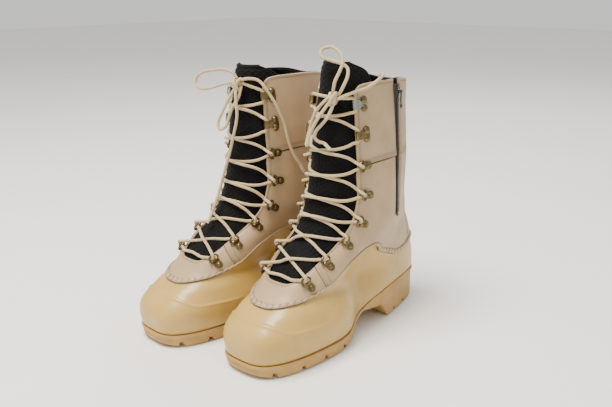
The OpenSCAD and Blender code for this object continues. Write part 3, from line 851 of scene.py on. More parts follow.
RIGHT_BOW = (
    FreeEnd("wide_loop", (
        (-6.5, -14, 294.7), (-2, -16, 301), (9, -21, 304), (20, -28, 303), (31, -35, 300), (38, -39, 294),
        (37, -41, 286), (28, -40, 282), (18, -34, 283), (8, -27, 287), (-2.5, -16, 290))),
    FreeEnd("hanging_loop", (
        (-4.5, -14.5, 284), (-2, -21, 274), (3, -25, 263), (8, -28, 252), (11, -31, 242), (7, -32, 235),
        (1, -28, 238), (-2, -24, 250), (-7, -22, 262), (-12, -17, 273), (-12, -12, 285.5)), lay="hanging"),
    FreeEnd("front_end", (
        (
            -8.5, -16.5, 285
        ), (-12, -21, 276), (-15, -23, 266), (-16, -23, 255), (-14, -24, 242), (-10, -26, 226),
        (-6, -28, 210), (-3, -31, 196), (2, -33, 181), (5, -37, 165), (6, -43, 150), (4, -52, 137)),
        ((4, -52, 137), (2, -61, 125)), "hanging"),
    FreeEnd("long_end", (
        (-11.5, -11.5, 293), (-18, -6, 294.5), (-26, 1, 293), (-32, 5, 287), (-36, 9, 278), (-41, 14, 267),
        (-44, 19, 254), (-45, 25, 240), (-46, 28, 226), (-47, 32, 212), (-49, 37, 200), (-51, 44, 189)),
        ((-51, 44, 189), (-52, 50, 178)), "hanging"),
)


@dataclass
class Throat(Boot):
    """Where the two rows of fittings sit, and the places of things on them.

    Row 0 is the top hook; rows 0 and 1 are hooks and 2 to 7 are D-rings. Side 0 is the outer one.
    """

    rows: tuple[tuple[float, float], ...] = (
        (274, 51), (241, 55.5), (206, 58), (172.5, 62), (141.5, 61.5), (121.5, 55), (105, 47), (88, 40))
    hook_rows: tuple[int, ...] = (0, 1)
    ring_rows: tuple[int, ...] = (2, 3, 4, 5, 6, 7)

    def spot(self, row: int, side: int, points: Floats) -> Floats:
        """Puts points of a fitting's own place into the boot's.

        Args:
            row: The fitting's row.
            side: 0 for the outer side, 1 for the inner one.
            points: Points as (towards the tongue, up the throat's edge, out of the leather) in mm.

        Returns:
            The points in the boot's place.
        """
        z = np.array([r[0] for r in self.rows], float)
        turn = np.array([r[1] for r in self.rows], float)
        places = self.last.skin(z, turn)
        normal = self.last.normal(z, turn)[row]
        down = places[min(row + 1, 7)] - places[max(row - 1, 0)]
        down = down - (down @ normal) * normal
        down = down / np.linalg.norm(down)
        inwards = np.cross(down, normal)
        p = np.asarray(points, float)
        placed = places[row] + p[..., :1] * inwards - p[..., 1:2] * down + p[..., 2:] * normal
        return placed * (-1 if side else 1, 1, 1)


@dataclass
class Lacing(Throat):
    """The lace: the part laced through the fittings, the knot, and the bow's loops and ends."""

    width: float = 3.6
    knot_at: tuple[float, float, float] = (14, -11, 282)
    knot_turn: float = 20.0
    tongue_skin: float = -1.4
    rest_gap: float = 0.1
    step: float = 0.9
    sides: int = 14

    def free_ends(self, ends: Sequence[FreeEnd]) -> None:
        """Args:
            ends: The loops and ends.
        """
        for end in ends:
            route = smooth_route(np.array(end.route, float), self.step)
            tube = Surface()
            add_tube(tube, route, self.width / 2, self.sides)
            piece = self.finish(tube, f"{end.name}_cord", Stuff.LACE, "lace_cotton", [end.name])
            if end.tip:
                self.tip(end)
            length = float(np.linalg.norm(np.diff(route, axis=0), axis=1).sum())
            path = self.stance.put(route)
            log.info("%s is %.0f mm long", piece.name, length)

    def tip(self, end: FreeEnd) -> bpy.types.Object:
        """Makes a tip: a tube of film with a soft shoulder, a little thicker than the lace, rounded at its end."""
        a, b = np.array(end.tip, float)
        along = np.array([0, 0.6, 1.2, 2.0, 5, 8, 11, 12.4, 13.0, 13.3])
        radius = np.array([1.55, 1.86, 1.98, 2.0, 1.97, 1.95, 1.93, 1.7, 1.2, 0.5])
        span = np.linalg.norm(b - a)
        surface = Surface()
        add_tube(surface, a + (b - a) / span * (along / along[-1] * span)[:, None], radius, 16)
        return self.finish(surface, f"{end.name}_tip", Stuff.TIP, "lace_tip", ["lace_tips"])

    def in_ring(self, row: int, side: int) -> Floats:
        """Points in under a ring's wire, up through the ring and back over the wire."""
        return self.spot(
            row, side, np.array([[9.6, -2.4, 2.4], [6.6, -1.4, 4.2], [6.4, 0.2, 8.0], [9.0, 1.6, 9.8]])
        )

    def round_hook(self, row: int, side: int) -> Floats:
        """Points in below a hook's curl, up behind it and out above it."""
        return self.spot(
            row, side,
            np.array(
                [[10.4, -7.4, 4.6], [7.8, -4.2, 5.5], [7.2, 0, 5.7], [7.8, 4.2, 5.5], [10.4, 7.4, 4.6]]
            )
        )

    def taut(self, start: Floats, end: Floats, lift: Callable[[Floats], Floats]) -> Floats:
        """A strand pulled straight between two points but held out of the tongue.

        Each point of the straight chord is moved out along the surface's normal until it lies lift above the
        tongue; where the chord is already higher it stays.

        Args:
            start: First point.
            end: Last point.
            lift: Height of the centre above the tongue, by share of the way.

        Returns:
            The points between, without the two ends.
        """
        t = np.linspace(0, 1, 15)[1:-1]
        chord = start + (end - start) * t[:, None]
        for _ in range(3):
            turn = np.degrees(np.arctan2(chord[:, 0], -(chord[:, 1] - 20)))
            turn = self.nearest_turn(chord, turn)
            foot = self.last.at(chord[:, 2], turn, np.full(len(t), self.tongue_skin))
            normal = self.last.normal(chord[:, 2], turn)
            high = ((chord - foot) * normal).sum(-1)
            want = self.width / 2 + self.rest_gap + lift(t)
            chord = chord + np.maximum(want - high, 0)[:, None] * normal * 0.9
        return chord

    def nearest_turn(self, points: Floats, turn: Floats) -> Floats:
        """The turn of the surface point nearest each point's direction, by four Newton steps on the x axis."""
        for _ in range(4):
            here = self.last.skin(points[:, 2], turn)
            step = self.last.skin(points[:, 2], turn + 0.5) - self.last.skin(points[:, 2], turn - 0.5)
            turn = turn + ((points - here) * step).sum(-1) / np.maximum((step * step).sum(-1), 1e-9)
        return turn

    def laced(self) -> None:
        """Makes the laced part: one tube from the knot down one side, across the lowest bar and up the other."""
        over = self.width + 0.3
        runs: list[Floats] = []
        for start_side in (1, 0):
            run: list[Floats] = []
            for row in range(7, -1, -1):
                side = start_side if row % 2 == 1 else 1 - start_side
                there = self.in_ring(row, side) if row > 1 else self.round_hook(row, side)
                if run:
                    # Strands that start on the inner side pass over, but for the one up to the lower inner
                    # hook
                    upper = (side == 0) != (row == 1)
                    lift = (lambda t: over * bump(t - 0.5, 0.16)) if upper else (lambda t: 0.0 * t)
                    run.append(self.taut(run[-1][-1], there[0], lift))
                run.append(there)
            runs.append(np.concatenate(run))
        first, second = runs
        bar = self.last.at(np.array([91.5, 93, 91.5]), np.array([-15.0, 0, 15]), np.full(3, 3.0))
        down, up = first[::-1], second
        ends = [self.to_knot(down[0]), self.to_knot(up[-1])]
        route = np.concatenate([ends[0][::-1], down, bar, up, ends[1]])
        tube = Surface()
        add_tube(tube, smooth_route(route, self.step), self.width / 2, self.sides)
        self.knot(tube)
        self.finish(tube, "laced_lace", Stuff.LACE, "lace_cotton", ["lace"])

    def to_knot(self, start: Floats) -> Floats:
        """A strand from a top hook across the tongue into the knot."""
        knot = np.array(self.knot_at, float)
        side = 1 if start[0] > 0 else -1
        goal = knot + (side * 4.0, 2.0, 0)
        return np.concatenate(
            [
                self.taut(start, goal, lambda t: 0.6 * ease((t - 0.6) / 0.4)), goal[None],
                (knot + (side * 1.0, 0.5, 0))[None]
            ]
        )

    def knot(self, surface: Surface) -> None:
        """Adds the knot: two turns wrapped round the crossing and one strand pulled down over them."""
        centre = np.array(self.knot_at, float)
        turn = math.radians(self.knot_turn)
        across = np.array([math.cos(turn), math.sin(turn), 0.0])
        outwards = np.array([math.sin(turn), -math.cos(turn), 0.0])
        upwards = np.array([0.0, 0, 1])
        for shift, tilt, wide, high in ((-2.0, 0.35, 4.6, 5.9), (2.1, -0.25, 4.9, 5.4)):
            a = np.linspace(0, 2 * np.pi, 40, endpoint=False)[:, None]
            axis = across * math.cos(tilt) + upwards * math.sin(tilt)
            ring = centre + axis * shift + np.cos(a) * outwards * wide + np.sin(a) * np.cross(
                axis, outwards
            ) * high
            add_tube(surface, ring + outwards * 0.6, self.width / 2 + 0.15, self.sides, closed=True)
        a = np.linspace(-0.35, 1.1, 18)[:, None] * np.pi
        band = centre + across * (3.2 * np.cos(a * 1.2)) + upwards * (6.6 * np.cos(a) - 0.6) + outwards * (
            2.4 + 5.4 * np.sin(a).clip(0)
        )
        add_tube(surface, smooth_route(band, self.step), self.width / 2 + 0.1, self.sides)
        core = centre + upwards * np.linspace(-5.5, 5.5, 12)[:, None]
        add_tube(surface, core, 3.4 * np.sqrt(np.clip(1 - (np.linspace(-1, 1, 12) * 0.94) ** 2, 0.05, 1)), 20)


# ---- sole and shell ----------------------------------------------------------------------------------------
SOLE_LINE = ((-170, 16), (-30, 16), (0, 19), (20, 26), (38, 36), (55, 41.5), (80, 43), (170, 41))


def sole_top(y: Floats) -> Floats:
    """Height of the line between the tread and the shell, by place along the foot."""
    y = np.asarray(y, float)
    spread = np.array([-6.0, -3, 0, 3, 6])
    return np.mean([np.interp(y + s, *zip(*SOLE_LINE)) for s in spread], axis=0)


def graded(length: float, step: float, fine: Sequence[float] = (0, 0.12, 0.35, 0.7, 1.15, 1.8)) -> Floats:
    """Places from 0 to length, about step apart, closer together at both ends."""
    fine = np.asarray(fine, float)
    middle = np.linspace(fine[-1], length - fine[-1], max(2, round((length - 2 * fine[-1]) / step) + 1))[1:-1]
    return np.concatenate([fine, middle, length - fine[::-1]])


def rounded(distance: Floats, radius: float) -> Floats:
    """A quarter circle: 0 at an edge, 1 from radius inwards, sqrt(1 - (1 - distance / radius)^2)."""
    return np.sqrt(1 - (1 - np.clip(np.asarray(distance) / radius, 0, 1)) ** 2)


@dataclass
class FootShell(Boot):
    """The moulded shell round the foot, its crease round the toes, and the groove above the sole."""

    wall: float = 3.0
    step: float = 1.4
    groove_depth: float = 1.9
    groove_high: float = 4.2
    crease: tuple[tuple[float, float], ...] = (
        (-140, 59), (-133, 57.5), (-121, 50.5), (-90, 46.5), (-54, 44), (-20, 43)
    )
    crease_rise: float = 0.8
    rim: tuple[tuple[float, float], ...] = (
        (0, 74), (30, 78), (50, 81), (64, 85), (72, 89), (79, 104), (87, 112), (94, 116), (102, 111), (113, 100),
        (125, 88), (148, 92), (180, 95))

    def rim_height(self, turn: Floats) -> Floats:
        """Height of the shell's upper rim, tucked under the leather's band."""
        folded = np.where(turn > 180, 360 - turn, turn)
        return curve_through([r[0] for r in self.rim], [r[1] for r in self.rim], folded) - 1.5

    def relief(self, points: Floats, above_sole: Floats, below_rim: Floats) -> Floats:
        """How far the outer face stands off the last: groove above the sole, crease round the toes, tucked rim."""
        off = -self.groove_depth * (1 - ease(above_sole / self.groove_high))
        y = points[..., 1]
        line = curve_through([c[0] for c in self.crease], [c[1] for c in self.crease], y)
        strength = 1 - ease((y + 78) / 40)
        gap = points[..., 2] - line
        off += strength * (
            self.crease_rise * bump(gap, 1.5) - 0.55 * ease(gap / 3.0) * (1 - ease((gap - 6) / 10))
        )
        # A mould's flow leaves the wall very slightly uneven
        off += 0.09 * np.sin(y / 13.0 + points[..., 2] / 21.0) * np.sin(points[..., 0] / 17.0 + 1.3)
        return off - 0.7 * (1 - ease(below_rim / 6.0))

    def make(self) -> None:
        """Builds the shell as one closed wall: rows from the sole up to the rim, columns round the foot."""
        turn = np.linspace(0, 360, 440, endpoint=False)
        spot = self.last.skin(np.full(440, 20.0), turn)
        run = run_along(spot)
        turn = np.interp(np.linspace(0, run[-1], 480, endpoint=False), run, turn)
        low = sole_top(self.last.skin(np.full(480, 20.0), turn)[:, 1]) + 0.1
        high = self.rim_height(turn)
        share = np.concatenate([[0, 0.004, 0.012], np.linspace(0.022, 0.988, 62), [0.995, 1.0]])
        z = low + (high - low) * share[:, None]
        turns = np.broadcast_to(turn, z.shape)
        bare = self.last.skin(z, turns)
        off = self.relief(bare, z - low, high - z)
        end = np.minimum(z - low, high - z)
        outer = self.last.at(z, turns, off - 0.7 * (1 - rounded(end, 0.8)))
        inner = self.last.at(z, turns, np.full(z.shape, -self.wall - 0.4))
        surface = Surface()
        surface.sheet(outer, inner, wrap_cols=True)
        self.finish(surface, "moulded_shell", Stuff.SHELL, "shell_rubber", ["shell"])


@dataclass
class Sole(Boot):
    """The lugged tread and the rounded rand that joins it to the shell."""

    grooves: tuple[float, ...] = (-134, -101, -68, -35, 85, 113)
    groove_width: float = 6.0
    lug_depth: float = 5.0
    rand_high: float = 4.2
    inset: float = -1.2
    lines: int = 460

    def half_line(self, places: Floats, grow: float, sign: int) -> Floats:
        """Sideways place of the outline at each place along the foot, on the outer (+1) or inner (-1) side."""
        turn = np.linspace(0.5, 179.5, 500)
        turn = turn if sign > 0 else 360 - turn
        edge = self.last.at(np.full(500, 20.0), turn, np.full(500, grow))
        order = np.argsort(edge[:, 1])
        return np.interp(places, edge[order, 1], edge[order, 0])

    def under(self, y: Floats) -> Floats:
        """Height of the tread's underside: flat at the ball, raised at the waist, a heel with a rounded back."""
        spring = 7 * ease((-y - 118) / 46) ** 1.5
        arch = 20.5 * ease((y + 6) / 30) * (1 - ease((y - 50) / 22))
        back = 6 * ease((y - 128) / 34) ** 1.6
        return spring + arch + back

    def cut(self, y: Floats) -> Floats:
        """Depth of the grooves at each place along the foot: steep in front, sloping behind, rounded over."""
        deep = np.zeros_like(y)
        for place in self.grooves:
            a = (y - place) / self.groove_width
            deep = np.maximum(deep, ease((a + 0.56) / 0.18) * (1 - ease((a - 0.28) / 0.36)))
        return deep

    def along_foot(self) -> Floats:
        """Places along the foot, closer together at the toe and the heel: the cosine of an even angle."""
        ends = self.last.at(np.full(2, 20.0), np.array([0.0, 180.0]), np.full(2, self.inset))[:, 1]
        a = np.linspace(0, np.pi, self.lines)
        return ends.mean() - (ends[1] - ends[0]) / 2 * 0.9995 * np.cos(a)

    def tread(self) -> None:
        """Builds the tread: at each place along the foot a closed ring down one side, across, and up the other."""
        y = self.along_foot()
        right, left = self.half_line(y, self.inset, 1), self.half_line(y, self.inset, -1)
        roof = sole_top(y) - self.rand_high + 0.6
        base = self.under(y)
        # Across: a share of the half width, and how far up the wall; the bottom edge is a quarter circle
        across = np.linspace(-1, 1, 61)
        edge, steps, slot_pitch = 3.0, 6, 33
        width = (right - left) / 2
        middle = (right + left) / 2
        inner = np.maximum(width - edge, 0.02)[:, None]
        x_bottom = middle[:, None] + across * inner
        centre_cut = 1 - ease((np.abs(x_bottom) - 2.2) / 1.6)
        centre_cut = centre_cut * (ease((y + 132) / 5) * (1 - ease((y + 24) / 5)))[:, None]
        cut = np.maximum(self.cut(y)[:, None] * np.ones_like(x_bottom), centre_cut)
        # Smaller slots run in from the sides between the main grooves
        slot = bump(
            (y[:, None] + 117.5 + slot_pitch * 10) % slot_pitch - slot_pitch / 2, 1.6
        ) * ease((np.abs(across) - 0.35) / 0.12)
        slot = slot * (1 - ease((np.abs(across) - 0.84) / 0.08)) * (1 - ease((y[:, None] + 16) / 6))
        cut = np.maximum(cut, 0.7 * slot)
        z_bottom = base[:, None] + self.lug_depth * cut
        tilt = np.linspace(0, np.pi / 2, steps + 1)[1:]
        edge_x = np.sin(tilt) * np.minimum(edge, width)[:, None]
        rows = []
        for sign in (-1, 1):
            hem = middle[:, None] + sign * (inner + edge_x)
            side = np.broadcast_to((right if sign > 0 else left)[:, None], (len(y), steps))
            z_edge = np.minimum(
                z_bottom[:, (-1 if sign > 0 else 0)][:, None] + edge * (1 - np.cos(tilt)), roof[:, None]
            )
            z_wall = z_edge[:, -1:] + (roof[:, None] - z_edge[:, -1:]) * np.linspace(0, 1, steps + 1)[1:]
            rows.append((np.concatenate([hem, side], 1), np.concatenate([z_edge, z_wall], 1)))
        x = np.concatenate([rows[0][0][:, ::-1], x_bottom, rows[1][0]], 1)
        z = np.concatenate([rows[0][1][:, ::-1], z_bottom, rows[1][1]], 1)
        ring = np.stack([x, np.broadcast_to(y[:, None], x.shape), z], -1)
        surface = Surface()
        surface.grid(ring, wrap_cols=True)
        surface.face(ring[0])
        surface.face(ring[-1])
        self.finish(surface, "lugged_tread", Stuff.SOLE, "sole_rubber", ["outsole"], sharp=60)

    def rand(self) -> None:
        """Builds the rand: a rounded bead round the foot, its section half an oval, its inner edge under the shell."""
        turn = np.linspace(0, 360, 900, endpoint=False)
        spot = self.last.skin(np.full(900, 20.0), turn)
        run = run_along(spot)
        turn = np.interp(np.linspace(0, run[-1], 520, endpoint=False), run, turn)
        top = sole_top(self.last.skin(np.full(520, 20.0), turn)[:, 1])
        a = np.linspace(-np.pi / 2, np.pi / 2, 13)[:, None]
        bead = 1.15 * np.abs(np.cos(a)) ** 0.7
        half = self.rand_high / 2
        z = top - half + half * np.sin(a)
        flat = np.full(z.shape, 20.0)
        turns = np.broadcast_to(turn, z.shape)
        outer = self.last.at(flat, turns, -0.6 + bead * np.ones_like(z))
        outer[..., 2] = z
        deep = self.last.at(flat[:1], turns[:1], np.full((1, 520), -9.0))
        under, over = deep.copy(), deep.copy()
        under[..., 2], over[..., 2] = z[:1], z[-1:]
        ring = np.concatenate([under, outer, over])
        surface = Surface()
        surface.grid(ring, wrap_rows=True, wrap_cols=True)
        self.finish(surface, "rand_bead", Stuff.SOLE, "sole_rubber", ["rand"], sharp=60)


@dataclass
class Inside(Boot):
    """What lies hidden in the foot: the footbed made new, and the stiffeners with their own finishes."""

    def footbed(self) -> None:
        """Builds the footbed: a dished bed, higher at its rim, with a rounded edge."""
        turn = np.linspace(0, 360, 200, endpoint=False)
        edge = self.last.at(np.full(200, 40.0), turn, np.full(200, -11.5))
        centre = np.stack([np.full(200, 0.0), np.clip(edge[:, 1], -100, 110) * 0.82, edge[:, 2]], -1)
        share = np.concatenate([np.linspace(0, 0.94, 26), [0.97, 0.99, 1.0]])[:, None]
        flat = centre[None] + (edge - centre)[None] * share[..., None]
        low = sole_top(flat[..., 1]) + 4.4
        top = low + 3.0 + 1.3 * share ** 4 - 1.1 * (1 - rounded(1 - share, 0.05))
        outer, inner = flat.copy(), flat.copy()
        outer[..., 2], inner[..., 2] = top, low
        surface = Surface()
        surface.sheet(outer, inner, wrap_cols=True)
        self.finish(surface, "dished_footbed", Stuff.FELT, "footbed_fabric", ["footbed"])

    def stiffeners(self) -> None:
        """Gives the hidden board, steel strip and heel counter their own finishes."""
        for node, stuff in (
            ("insole_board", Stuff.BOARD), ("shank", Stuff.SPRING), ("heel_counter", Stuff.COUNTER)
        ):
            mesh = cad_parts[f"{self.side}_{node}"].data
            mesh.materials.clear()
            mesh.materials.append(stuff.material)


# ---- leather
# -------------------------------------------------------------------------------------------------
Line = tuple[tuple[float, float], ...]


@dataclass
class Upper(Boot):
    """The leather: vamp, quarters, shafts and back stay, their lacing band and every row of stitches.

    Lines are points (height, turn) on the last; a panel lies between a lower and an upper line.
    """

    inner_face: float = 0.25
    thick: float = 1.8
    step: float = 1.5
    seam_z: float = 209.0
    zip_y: float = 73.0
    zip_half: float = 5.2
    zip_foot: float = 137.0
    vamp_low: Line = ((67, 0), (68.5, 14), (70.5, 30), (73, 50), (77, 64), (81, 72))
    vamp_top: Line = ((88, 0), (88.2, 8), (89.5, 15), (93, 22), (98, 27), (104, 32))
    quarter_low: Line = (
        (81, 72), (86, 76), (97, 79), (105, 87), (109, 94), (104, 102), (97, 107), (88, 117), (80, 127), (80, 138), (84, 148))
    quarter_top: Line = (
        (104, 32), (118, 40), (140, 49), (170, 51.5), (203, 49.5), (207, 70), (209, 98.4), (209, 107.2), (209, 113),
        (209, 121), (209, 130))
    stay_low: Line = ((84, 148), (86, 164), (87, 180))
    shaft_low: Line = ((203, 49.5), (206, 58), (208, 70), (209, 84), (209, 98.4))
    shaft_top: Line = ((287, 42), (294, 49), (296.5, 62), (297, 78), (297, 96))
    rear_low: Line = (
        (209, 107.2), (209, 130), (209, 152), (209, 180), (209, 208), (209, 230), (209, 253), (209, 276), (208, 290),
        (206, 302), (203, 310.5))
    rear_top: Line = (
        (297, 106), (295, 128), (291, 152), (290, 180), (291, 208), (295, 232), (297, 257), (297, 282), (296.5, 298),
        (294, 311), (287, 318))
    band_wide: float = 8.0
    band_pitch: float = 8.0
    hole_at: float = 0.87
    hole_along: float = 1.15
    hole_across: float = 1.05
    stitch_pitch: float = 2.8
    stitch_long: float = 1.9
    lines: dict[str, Floats] = field(default_factory=dict)

    @property
    def outer_face(self) -> float:
        """How far the leather's outer face stands off the last."""
        return self.inner_face + self.thick

    def turn_at(self, z: Floats, y: float) -> Floats:
        """The turn on the outer side at which the last, at each height, has a given place along the foot."""
        turn = np.linspace(60, 140, 161)
        z = np.asarray(z, float)
        places = self.last.skin(
            np.repeat(z.reshape(-1, 1), 161, 1), np.broadcast_to(turn, (z.size, 161))
        )[..., 1]
        return np.array([np.interp(y, row, turn) for row in places]).reshape(z.shape)

    def mirrored(self, line: Line) -> Line:
        """The same line on the inner side, kept running the same way round."""
        return tuple((z, 360 - t) for z, t in line[::-1])

    def both_ways(self, half: Line) -> Line:
        """A line from one side across the front to the other."""
        return tuple((z, -t) for z, t in half[::-1]) + half[1:]

    def spread(self, low: Line, top: Line, step: float | None = None) -> tuple[Floats, Floats]:
        """Heights and turns of a panel's grid, rows from its lower line to its upper one.

        Both lines are made smooth, cut at equal shares of their mean length, and joined by straight rows.

        Args:
            low: Lower line.
            top: Upper line, with as many points.
            step: Distance between grid lines.

        Returns:
            Heights and turns, each rows by columns.
        """
        step = step or self.step
        knots = np.arange(len(low), dtype=float)
        u = np.linspace(0, len(low) - 1, 600)
        low_z, low_t = (curve_through(knots, [p[k] for p in low], u) for k in (0, 1))
        top_z, top_t = (curve_through(knots, [p[k] for p in top], u) for k in (0, 1))
        middle = self.last.skin((low_z + top_z) / 2, (low_t + top_t) / 2)
        run = run_along(middle)
        cols = np.interp(graded(run[-1], step), run, u)
        low_z, low_t, top_z, top_t = (np.interp(cols, u, v) for v in (low_z, low_t, top_z, top_t))
        up = self.last.skin(top_z, top_t) - self.last.skin(low_z, low_t)
        rows = graded(float(np.linalg.norm(up, axis=1).mean()), step)
        v = (rows / rows[-1])[:, None]
        return low_z + (top_z - low_z) * v, low_t + (top_t - low_t) * v

    def edge_distance(self, spots: Floats) -> Floats:
        """Each grid point's distance to the nearest border, measured along the grid's lines."""
        up = np.linalg.norm(np.diff(spots, axis=0), axis=-1).cumsum(0)
        up = np.concatenate([np.zeros((1, spots.shape[1])), up])
        over = np.linalg.norm(np.diff(spots, axis=1), axis=-1).cumsum(1)
        over = np.concatenate([np.zeros((spots.shape[0], 1)), over], 1)
        return np.minimum(np.minimum(up, up[-1:] - up), np.minimum(over, over[:, -1:] - over))

    def folds(self, z: Floats, turn: Floats) -> Floats:
        """The leather's slow waves: soft folds round the ankle and a slight unevenness everywhere."""
        around = np.where(turn > 180, 360 - turn, turn)
        ankle = bump(z - 122, 26) * ease((around - 30) / 30)
        waves = 0.42 * np.sin(
            z / 5.4 + 0.9 * np.sin(around / 15.0) + 0.4
        ) + 0.25 * np.sin(z / 9.0 - around / 11.0)
        slow = 0.16 * np.sin(z / 17.0 + around / 13.0) * np.sin(turn / 19.0 + 0.7)
        return ankle * waves + slow

    def dip(self, spots: Floats, names: Sequence[str], depth: float = 0.42, width: float = 1.25) -> Floats:
        """How far seams pull the leather down: a bell round the nearest point of each named stitch line."""
        total = np.zeros(spots.shape[:-1])
        flat = spots.reshape(-1, 3).astype(np.float32)
        for name in names:
            line = respaced(self.lines[name], 1.2).astype(np.float32)
            near = np.full(len(flat), 99.0, np.float32)
            close = ((flat > line.min(0) - 5) & (flat < line.max(0) + 5)).all(1)
            if close.any():
                gap = ((flat[close][:, None] - line[None]) ** 2).sum(-1).min(1)
                near[close] = np.sqrt(gap)
            total = np.maximum(total, depth * bump(near, width).reshape(total.shape))
        return total

    def panel(
        self, z: Floats, turn: Floats, seams: Sequence[str], keep: NDArray[np.bool_] | None = None,
        away: Floats | None = None, lift: Floats | float = 0.0,
    ) -> Surface:
        """Makes a panel: a closed sheet whose borders are rounded, with its folds and its pulled seams.

        Args:
            z: Heights of its grid.
            turn: Turns of its grid.
            seams: Names of the stitch lines that cross it.
            keep: Which cells are there.
            away: Distance to a hole's border, for each point.
            lift: How much higher the panel lies, for each point.

        Returns:
            The panel's surface.
        """
        spots = self.last.at(z, turn, np.full(z.shape, self.outer_face))
        away = np.minimum(self.edge_distance(spots), 99 if away is None else away)
        off = self.inner_face + self.thick * rounded(away, 1.0) + self.folds(z, turn) * ease(away / 6) + lift
        pulled = self.dip(spots, seams)
        off = off - pulled * ease(away / 0.8)
        uv = np.stack([np.radians(turn) * 45, z], -1)
        surface = Surface()
        inner = self.last.at(
            z, turn, self.inner_face - 0.35 + np.minimum(self.folds(z, turn), 0) * ease(away / 6)
        )
        # The leather is darker along its cut edges, and painted shade darkens the dips that the seams pull
        surface.sheet(
            self.last.at(z, turn, off), inner, uv, keep=keep,
            edge_and_shade=0.26 * (1 - ease(away / 1.1)) + 0.75 * pulled
        )
        return surface

    # -- stitch lines ---------------------------------------------------------------------------------------
    def on_leather(
        self, z: Sequence[float] | Floats, turn: Sequence[float] | Floats, high: float = 0.0
    ) -> Floats:
        """Smooth line on the leather's outer face through points (height, turn)."""
        z, turn = np.asarray(z, float), np.asarray(turn, float)
        knots, u = np.arange(len(z), dtype=float), np.linspace(0, len(z) - 1, 40 * len(z))
        zz, tt = curve_through(knots, z, u), curve_through(knots, turn, u)
        return self.last.at(zz, tt, self.outer_face + high + self.folds(zz, tt))

    def plan_stitches(self) -> None:
        """Works out every stitch line, by name."""
        vamp = np.array(self.both_ways(tuple((z - 2.2, t) for z, t in self.vamp_top)))
        self.lines["vamp_top"] = self.on_leather(vamp[:, 0], vamp[:, 1])
        for name, sign in (("outer", 1), ("inner", -1)):
            throat_z = [106, 118, 140, 170, 203, 222, 250, 272, 288]
            throat_t = np.array([35.8, 43.3, 52.2, 54.6, 53.0, 51.5, 49.8, 48.2, 46.6])
            self.lines[f"{name}_throat"] = self.on_leather(throat_z, sign * throat_t)
            cross_z, cross_t = [104.5, 98.5, 92.5, 87, 84.5], np.array([36.5, 45, 54.5, 64, 69])
            self.lines[f"{name}_cross"] = self.on_leather(cross_z, sign * cross_t)
            self.lines[f"{name}_cross_far"] = self.on_leather(np.array(cross_z) + 2.2, sign * (cross_t + 2.2))
            stay_z = np.array([92, 110, 135, 160, 185, 205])
            stay_t = 148 + (stay_z - 84) / 125 * (130 - 148) + 3.0
            self.lines[f"{name}_stay"] = self.on_leather(stay_z, sign * stay_t)
            self.lines[f"{name}_stay_far"] = self.on_leather(stay_z, sign * (stay_t + 3.2))
        around = np.array(self.shaft_low[:-1] + ((209.0, 94.5),))
        for name, rise in (("seam_low", 2.4), ("seam_high", 5.4)):
            self.lines[f"outer_{name}"] = self.on_leather(around[:, 0] + rise, around[:, 1])
            rear = np.array(((209.0, 111.0),) + self.rear_low[1:])
            self.lines[f"rear_{name}"] = self.on_leather(rear[:, 0] + rise, rear[:, 1])
        front = np.array(self.shaft_top)
        self.lines["outer_collar"] = self.on_leather(
            front[:, 0] - 3.4, front[:, 1] + np.array([4.5, 2, 0, 0, 0])
        )
        rear = np.array(self.rear_top)
        shift = np.array([4.5] + [0] * (len(rear) - 3) + [-2.0, -4.5])
        self.lines["rear_collar"] = self.on_leather(rear[:, 0] - 3.4, rear[:, 1] + shift)
        z = np.linspace(self.zip_foot + 1, 290, 12)
        for name, reach in (("zip_front", -self.zip_half - 2.6), ("zip_rear", self.zip_half + 2.6)):
            self.lines[name] = self.on_leather(z, self.turn_at(z, self.zip_y + reach))

    def stitch_row(
        self, surface: Surface, line: Floats, pitch: float | None = None, long: float | None = None,
        thick: float = 0.42
    ) -> None:
        """Adds a row of stitches: short arched threads whose ends dive into the leather.

        Args:
            surface: What to add them to.
            line: The stitch line on the leather.
            pitch: Distance from one stitch to the next.
            long: Length of a stitch.
            thick: Radius of the thread.
        """
        pitch, long = pitch or self.stitch_pitch, long or self.stitch_long
        run = run_along(line)
        count = max(1, int(run[-1] / pitch))
        middles = (np.arange(count) + 0.5) * run[-1] / count
        share = np.array([-0.5, -0.42, -0.22, 0.0, 0.22, 0.42, 0.5])
        places = middles[:, None] + share * long
        spine = np.stack([np.interp(places, run, line[:, k]) for k in range(3)], -1)
        heading = spine[:, -1] - spine[:, 0]
        heading /= np.linalg.norm(heading, axis=1, keepdims=True)
        out = self.outward(spine[:, 3])
        side = np.cross(heading, out)
        arch = np.array([-0.45, 0.0, 0.16, 0.2, 0.16, 0.0, -0.45]) - 0.28
        width = thick * np.array([0.35, 0.85, 1, 1, 1, 0.85, 0.35])
        spine = spine + arch[None, :, None] * out[:, None]
        a = np.linspace(0, 2 * np.pi, 6, endpoint=False)
        ring = np.cos(a)[
            None, None, :, None
        ] * side[:, None, None] + np.sin(a)[None, None, :, None] * out[:, None, None]
        surface.many(spine[:, :, None] + width[None, :, None, None] * ring)

    def outward(self, points: Floats) -> Floats:
        """Roughly outward unit directions at points near the boot's surface: away from the leg's middle line."""
        high = ease((points[:, 2] - 70) / 60)
        middle_y = -47 * (1 - high) + 52 * high
        middle = np.stack(
            [
                np.zeros(len(points)), np.clip(points[:, 1], middle_y - 40, middle_y + 30),
                points[:, 2] - 26 * (1 - high)
            ],
            -1
        )
        out = points - middle
        return out / np.linalg.norm(out, axis=1, keepdims=True)

    # -- pieces
    # ------------------------------------------------------------------------------------------------
    def vamp(self) -> None:
        """Builds the vamp, from the band up to the tongue's foot."""
        z, turn = self.spread(self.both_ways(self.vamp_low), self.both_ways(self.vamp_top))
        surface = self.panel(z, turn, ["vamp_top"])
        self.finish(surface, "leather_vamp", Stuff.LEATHER, "leather", ["vamp"])

